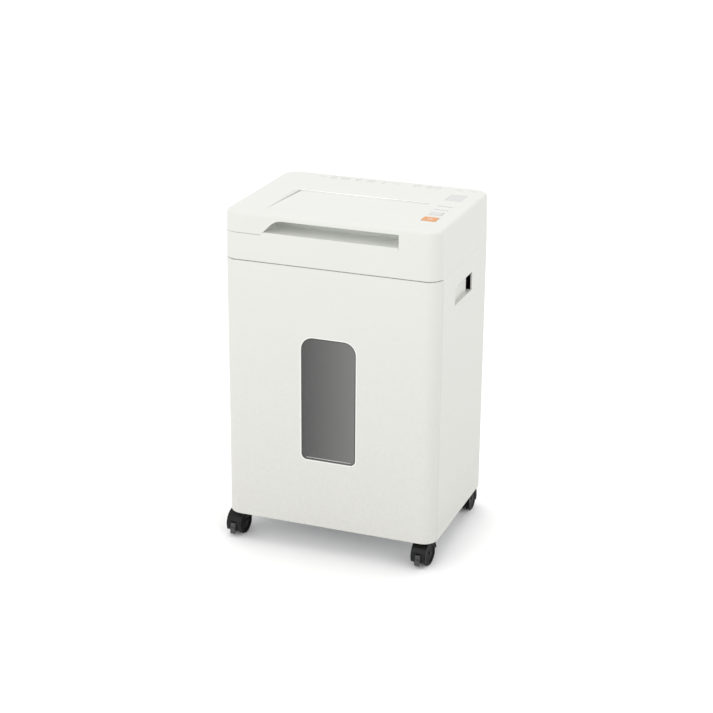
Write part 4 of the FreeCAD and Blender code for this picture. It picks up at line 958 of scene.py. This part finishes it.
@dataclass
class Head(SubAssembly):
    """Housing, cover, throat, vent and inlet, with the marks printed on the cover and a painted
    highlight along its ramp's step.
    """

    edge: float = 0.6 * MM
    icon_half: float = 6.2 * MM
    icon_width: float = 1.3 * MM
    icon_inset: float = 19.5 * MM
    step_ends: tuple[float, float] = (-115.0 * MM, 107.0 * MM)
    step_ys: tuple[float, float] = (-95.0 * MM, 22.0 * MM)
    step_height: float = 1.2 * MM
    highlight_width: float = 2.6 * MM

    def __post_init__(self) -> None:
        """Name the head's pieces."""
        self.finishes = {
            "upper_housing": Slot.SHELL, "top_cover": Slot.SHELL, "feed_guide": Slot.GUIDE,
            "paper_sensor": Slot.BLACK, "rear_vent": Slot.BLACK, "power_inlet": Slot.BLACK,
            "inlet_pins": Slot.BRONZE,
        }
        self.softened = {"upper_housing": self.edge, "top_cover": self.edge}

    def print_row(self) -> None:
        """Row of pictograms along the rear of the cover, each at its own x in millimetres."""
        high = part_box("top_cover")[1]
        row = ((-106, Mark.TICK), (-86, Mark.SHEET), (-66, Mark.CARD), (-44, Mark.CLIP),
               (-22, Mark.DISC), (0, Mark.FORWARD), (22, Mark.DOTS), (56, Mark.BIN),
               (77, Mark.SHEET), (90, Mark.POWER), (127, Mark.TICK), (150, Mark.TICK))
        for number, (x, mark) in enumerate(row, 1):
            place = (x * MM, high.y - self.icon_inset, high.z)
            name = f"cover_mark_{number}_{mark.value}"
            Print(name, mark, place, self.icon_half, self.icon_width, Ink.GREY, Slot.KEY_GREY,
                  "cabinet").build(self.palette)

    def edge_step(self) -> None:
        """Painted highlight on the lip and wall at the rear of the cover's shallow ramp, as two
        pale strips, and a slope at its left.
        """
        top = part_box("top_cover")[1].z
        left, right = self.step_ends
        front, rear = self.step_ys
        across = [(line((left, 0), (right, 0)), False)]
        # Painted highlight: pale strips on the step's top edge and on its wall, where the ridge
        # catches the light.
        top_highlight_place = (0.0, rear + self.highlight_width / 2, top)
        top_highlight = ink_piece("cover_step_highlight", across, self.highlight_width, top_highlight_place)
        self.finish_ink(top_highlight, Ink.PAINTED_HIGHLIGHT, Slot.SHELL, "cabinet")
        wall_z = top - self.step_height / 2
        wall_highlight = ink_piece("cover_step_wall_highlight", across, self.step_height, (0.0, rear, wall_z), True)
        self.finish_ink(wall_highlight, Ink.PAINTED_HIGHLIGHT, Slot.SHELL, "cabinet")
        self.blend_side(left, front, rear, top)

    def blend_side(self, left: float, front: float, rear: float, top: float) -> None:
        """Gentle slope that joins the cover's top to the ramp along its left side.

        With t from 0 at the front to 1 at the rear, the ramp's depth is d = t × step_height. Each
        station is a triangle: the top edge at (left - tuck, top + lift), the ramp at
        (left + fall × d, top - d + lift), and the corner under the edge at
        (left - tuck, top - d - lift).

        Args:
            left: x of the ramp's left side.
            front: y where the ramp starts.
            rear: y where it ends.
            top: z of the cover's top.
        """
        stations, fall, lift, tuck = 24, 7.0, 0.03 * MM, 0.6 * MM
        t = np.linspace(0.0, 1.0, stations)
        depth = t * self.step_height
        y = front + t * (rear - front)
        outer = np.full(stations, left - tuck)
        edge = np.column_stack([outer, y, np.full(stations, top + lift)])
        ramp = np.column_stack([left + fall * depth, y, top - depth + lift])
        corner = np.column_stack([outer, y, top - depth - lift])
        points = np.stack([edge, corner, ramp], axis=1).reshape(-1, 3)
        piece = mesh_object("cover_step_slope", points, ring_faces(stations, 3, False))
        self.finish_ink(piece, Slot.SHELL, Slot.SHELL, "cabinet")


@dataclass
class Controls(SubAssembly):
    """Keys, lenses, board and switches, with a symbol on each key."""

    symbol_half: float = 3.4 * MM
    symbol_width: float = 0.8 * MM

    def __post_init__(self) -> None:
        """Name the pieces of the controls."""
        self.finishes = {
            "power_button": Slot.KEY_ORANGE, "reverse_button": Slot.KEY_GREY,
            "display_lens": Slot.LENS, "status_lenses": Slot.LENS,
            "control_board": Slot.BOARD, "board_screws": Slot.PLATED,
            "key_switches": Slot.BLACK,
        }

    def print_symbols(self) -> None:
        """A symbol in the middle of each key's face."""
        keys = (("power_button", Mark.POWER, Slot.KEY_ORANGE, "power_key"),
                ("reverse_button", Mark.REVERSE, Slot.KEY_GREY, "reverse_key"))
        for node, mark, slot, body in keys:
            low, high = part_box(node)
            place = ((low.x + high.x) / 2, (low.y + high.y) / 2, high.z)
            Print(node + "_symbol", mark, place, self.symbol_half, self.symbol_width, Ink.WHITE,
                  slot, body).build(self.palette)

    def print_bars(self) -> None:
        """Grey bars that carry the two status lights on to the left."""
        low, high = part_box("status_lenses")
        start, half, width = 122 * MM, 0.8 * MM, 1.8 * MM
        for number, y in enumerate((low.y + half, high.y - half), 1):
            bar = [(line((start, y), (high.x, y)), False)]
            piece = ink_piece(f"status_bar_{number}", bar, width, (0.0, 0.0, high.z))
            self.finish_ink(piece, Ink.GREY, Slot.LENS, "cabinet")

    def edge_display(self) -> None:
        """Painted shade: thin grey line along the left and rear of the display lens, where its
        recess casts shadow.
        """
        low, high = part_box("display_lens")
        inset, width = 0.6 * MM, 1.0 * MM
        left, rear = low.x + inset, high.y - inset
        path = line((left, low.y), (left, rear), (high.x, rear))
        # Painted shade: the recess's shadow on the lens.
        piece = ink_piece("display_painted_shade", [(path, False)], width, (0.0, 0.0, high.z))
        self.finish_ink(piece, Ink.GREY, Slot.LENS, "cabinet")


@dataclass
class CuttingBlock(SubAssembly):
    """Frame plates, shafts, gears and motor."""

    def __post_init__(self) -> None:
        """Name the pieces of the cutting block."""
        self.finishes = {
            "left_frame_plate": Slot.PLATED, "right_frame_plate": Slot.PLATED,
            "frame_screws": Slot.PLATED, "tie_rods": Slot.PLATED, "gear_guard": Slot.PLATED,
            "cutter_bushes": Slot.BRONZE,
            "front_cutter": Slot.CUTTER, "rear_cutter": Slot.CUTTER, "front_stripper": Slot.CUTTER,
            "rear_stripper": Slot.CUTTER, "front_cutter_gear": Slot.CUTTER,
            "rear_cutter_gear": Slot.CUTTER,
            "idler_gear": Slot.NYLON, "motor_pinion": Slot.CUTTER, "motor": Slot.MOTOR,
        }


@dataclass
class Drawer(SubAssembly):
    """Front, bin, window and catch."""

    edge: float = 0.8 * MM

    def __post_init__(self) -> None:
        """Name the drawer's pieces."""
        self.finishes = {
            "drawer_front": Slot.SHELL, "drawer_bin": Slot.BIN, "window_pane": Slot.PANE,
            "window_bezel": Slot.BIN, "magnet_strikers": Slot.PLATED, "drawer_screws": Slot.PLATED,
            "interlock_switch": Slot.BLACK, "interlock_lever": Slot.BLACK,
            "drawer_magnets": Slot.MAGNET,
        }
        self.softened = {"drawer_front": self.edge}

    def edge_window(self) -> None:
        """Painted shadow round the pane's edge, painted highlight round its cut-out and a grey
        painted highlight above the sill.
        """
        low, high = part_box("window_pane")
        flange, count = 6 * MM, 9
        half_x = (high.x - low.x) / 2 - flange
        half_z = (high.z - low.z) / 2 - flange
        centre = ((low.x + high.x) / 2, low.y, (low.z + high.z) / 2)
        margin, low_radius, high_radius, width = 1.0 * MM, 8 * MM, 19 * MM, 1.5 * MM
        outline = rounded_path(half_x - margin, half_z - margin, low_radius, high_radius, count)
        # Painted shadow: dark line round the pane's edge.
        edge = ink_piece("window_edge_painted_shadow", [(outline, True)], width, centre, True)
        self.finish_ink(edge, Ink.PAINTED_SHADOW, Slot.PANE, "drawer")
        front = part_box("drawer_front")[0].y
        margin, low_radius, high_radius, width = 1.2 * MM, 10 * MM, 21 * MM, 0.8 * MM
        outline = rounded_path(half_x + margin, half_z + margin, low_radius, high_radius, count)
        place = (centre[0], front, centre[2])
        # Painted highlight: pale rim round the cut-out, as its edge catches the light.
        rim = ink_piece("window_rim_painted_highlight", [(outline, True)], width, place, True)
        self.finish_ink(rim, Ink.PAINTED_HIGHLIGHT, Slot.SHELL, "drawer")
        rise, short, width = 3.6 * MM, 8 * MM, 1.0 * MM
        reach = half_x - short
        sill = line((-reach, rise - half_z), (reach, rise - half_z))
        # Painted highlight: grey line above the sill, paler than the pane, where its flange catches
        # the light.
        pale = ink_piece("window_sill_painted_highlight", [(sill, False)], width, centre, True)
        self.finish_ink(pale, Ink.GREY, Slot.PANE, "drawer")


@dataclass
class Casters(SubAssembly):
    """Four twin-wheel casters, two with brake tabs."""

    edge: float = 0.4 * MM

    def __post_init__(self) -> None:
        """Name the pieces of every caster."""
        for end in ("front", "rear"):
            for side in ("left", "right"):
                place = f"{end}_{side}"
                self.finishes[f"caster_hood_{place}"] = Slot.HOOD
                self.finishes[f"caster_axle_{place}"] = Coating.BLACKENED
                self.finishes[f"caster_wheels_{place}"] = Slot.WHEEL
                if end == "front":
                    self.finishes[f"brake_tab_{place}"] = Slot.BRAKE
                    self.softened[f"brake_tab_{place}"] = self.edge
                self.softened[f"caster_hood_{place}"] = self.edge


# ---- studio ----------------------------------------------------------------------------
@dataclass
class Studio:
    """Pale floor, soft lights and the camera."""

    floor_radius: float = 30.0
    turn: float = math.radians(20.5)
    dip: float = math.radians(20.5)
    roll: float = 0.0072
    distance: float = 2.8331
    target: tuple[float, float, float] = (0.0013, -0.0125, 0.2959)
    lens: float = 89.6
    sensor: float = 36.0
    world_strength: float = 1.06

    def floor(self) -> None:
        """Round floor: rings of radius floor_radius × s², with s from innermost to one, z = 0."""
        rings, around, innermost = 12, 64, 0.02
        radius = np.linspace(innermost, 1.0, rings) ** 2 * self.floor_radius
        angle = np.linspace(0, 2 * math.pi, around, endpoint=False)
        x = radius[:, None] * np.cos(angle)
        y = radius[:, None] * np.sin(angle)
        points = np.stack([x, y, np.zeros_like(x)], axis=-1).reshape(-1, 3)
        faces = ring_faces(rings, around, False)[:, ::-1]
        floor = mesh_object("studio_floor", points, np.vstack([faces, self.hub(around)]))
        finish = Moulded("studio_paper", (0.985, 0.985, 0.985), roughness=0.9, bump=0.0,
                         grain=300.0, drift=0.0)
        floor.data.materials.append(finish.build())

    @staticmethod
    def hub(around: int) -> np.ndarray:
        """Quads that close the innermost ring, each across the middle.

        Args:
            around: how many points the ring has, an even number.

        Returns:
            Array of (count, 4) point numbers.
        """
        half = around // 2
        first = np.arange(half - 1)
        return np.stack([first, first + 1, around - 2 - first, around - 1 - first], axis=-1)

    def light(self, name: str, place: tuple, aim: tuple, size: float, watts: float) -> None:
        """One square soft box, turned to its aim.

        Args:
            name: name of the lamp.
            place: where it stands.
            aim: the point that it faces.
            size: length of its sides.
            watts: its power.
        """
        lamp = bpy.data.lights.new(name, "AREA")
        lamp.size = size
        lamp.energy = watts
        piece = bpy.data.objects.new(name, lamp)
        piece.location = place
        piece.rotation_euler = (Vector(aim) - Vector(place)).to_track_quat("-Z", "Y").to_euler()
        bpy.context.scene.collection.objects.link(piece)

    def lights(self) -> None:
        """White surroundings, a large key box from the front left, and a box overhead."""
        world = bpy.data.worlds.new("studio")
        world.use_nodes = True
        background = world.node_tree.nodes["Background"].inputs
        background["Color"].default_value = (1.0, 1.0, 1.0, 1.0)
        background["Strength"].default_value = self.world_strength
        bpy.context.scene.world = world
        self.light("key_box", place=(-0.9, -2.9, 1.7), aim=(0.0, 0.0, 0.4), size=2.0, watts=19.0)
        self.light("top_box", place=(0.2, 0.6, 3.4), aim=(0.0, 0.0, 0.5), size=2.6, watts=24.0)

    def camera(self) -> None:
        """Camera on a sphere about its target, rolled a little about its own axis."""
        level = math.cos(self.dip)
        back = Vector((math.sin(self.turn) * level, -math.cos(self.turn) * level,
                       math.sin(self.dip)))
        data = bpy.data.cameras.new("camera")
        data.lens = self.lens
        data.sensor_width = self.sensor
        piece = bpy.data.objects.new("camera", data)
        turn = back.to_track_quat("Z", "Y").to_matrix().to_4x4()
        piece.matrix_world = turn @ Matrix.Rotation(self.roll, 4, "Z")
        piece.location = Vector(self.target) + back * self.distance
        bpy.context.scene.collection.objects.link(piece)
        bpy.context.scene.camera = piece

    def set_up(self) -> None:
        """Build the whole studio and keep whites as they are lit."""
        self.floor()
        self.lights()
        self.camera()
        bpy.context.scene.view_settings.view_transform = "Standard"


def main() -> None:
    """Build every sub-assembly in order, then the studio."""
    logging.basicConfig(level=logging.INFO, format="%(name)s: %(message)s")
    bpy.context.view_layer.update()
    palette = Palette()
    head = Head(palette)
    controls = Controls(palette)
    drawer = Drawer(palette)
    for assembly in (Cabinet(palette), head, controls, CuttingBlock(palette), drawer,
                     Casters(palette)):
        assembly.dress()
    head.print_row()
    head.edge_step()
    controls.print_symbols()
    controls.edge_display()
    controls.print_bars()
    drawer.edge_window()
    Studio().set_up()
    bpy.context.view_layer.update()


if __name__ == "__main__":
    main()
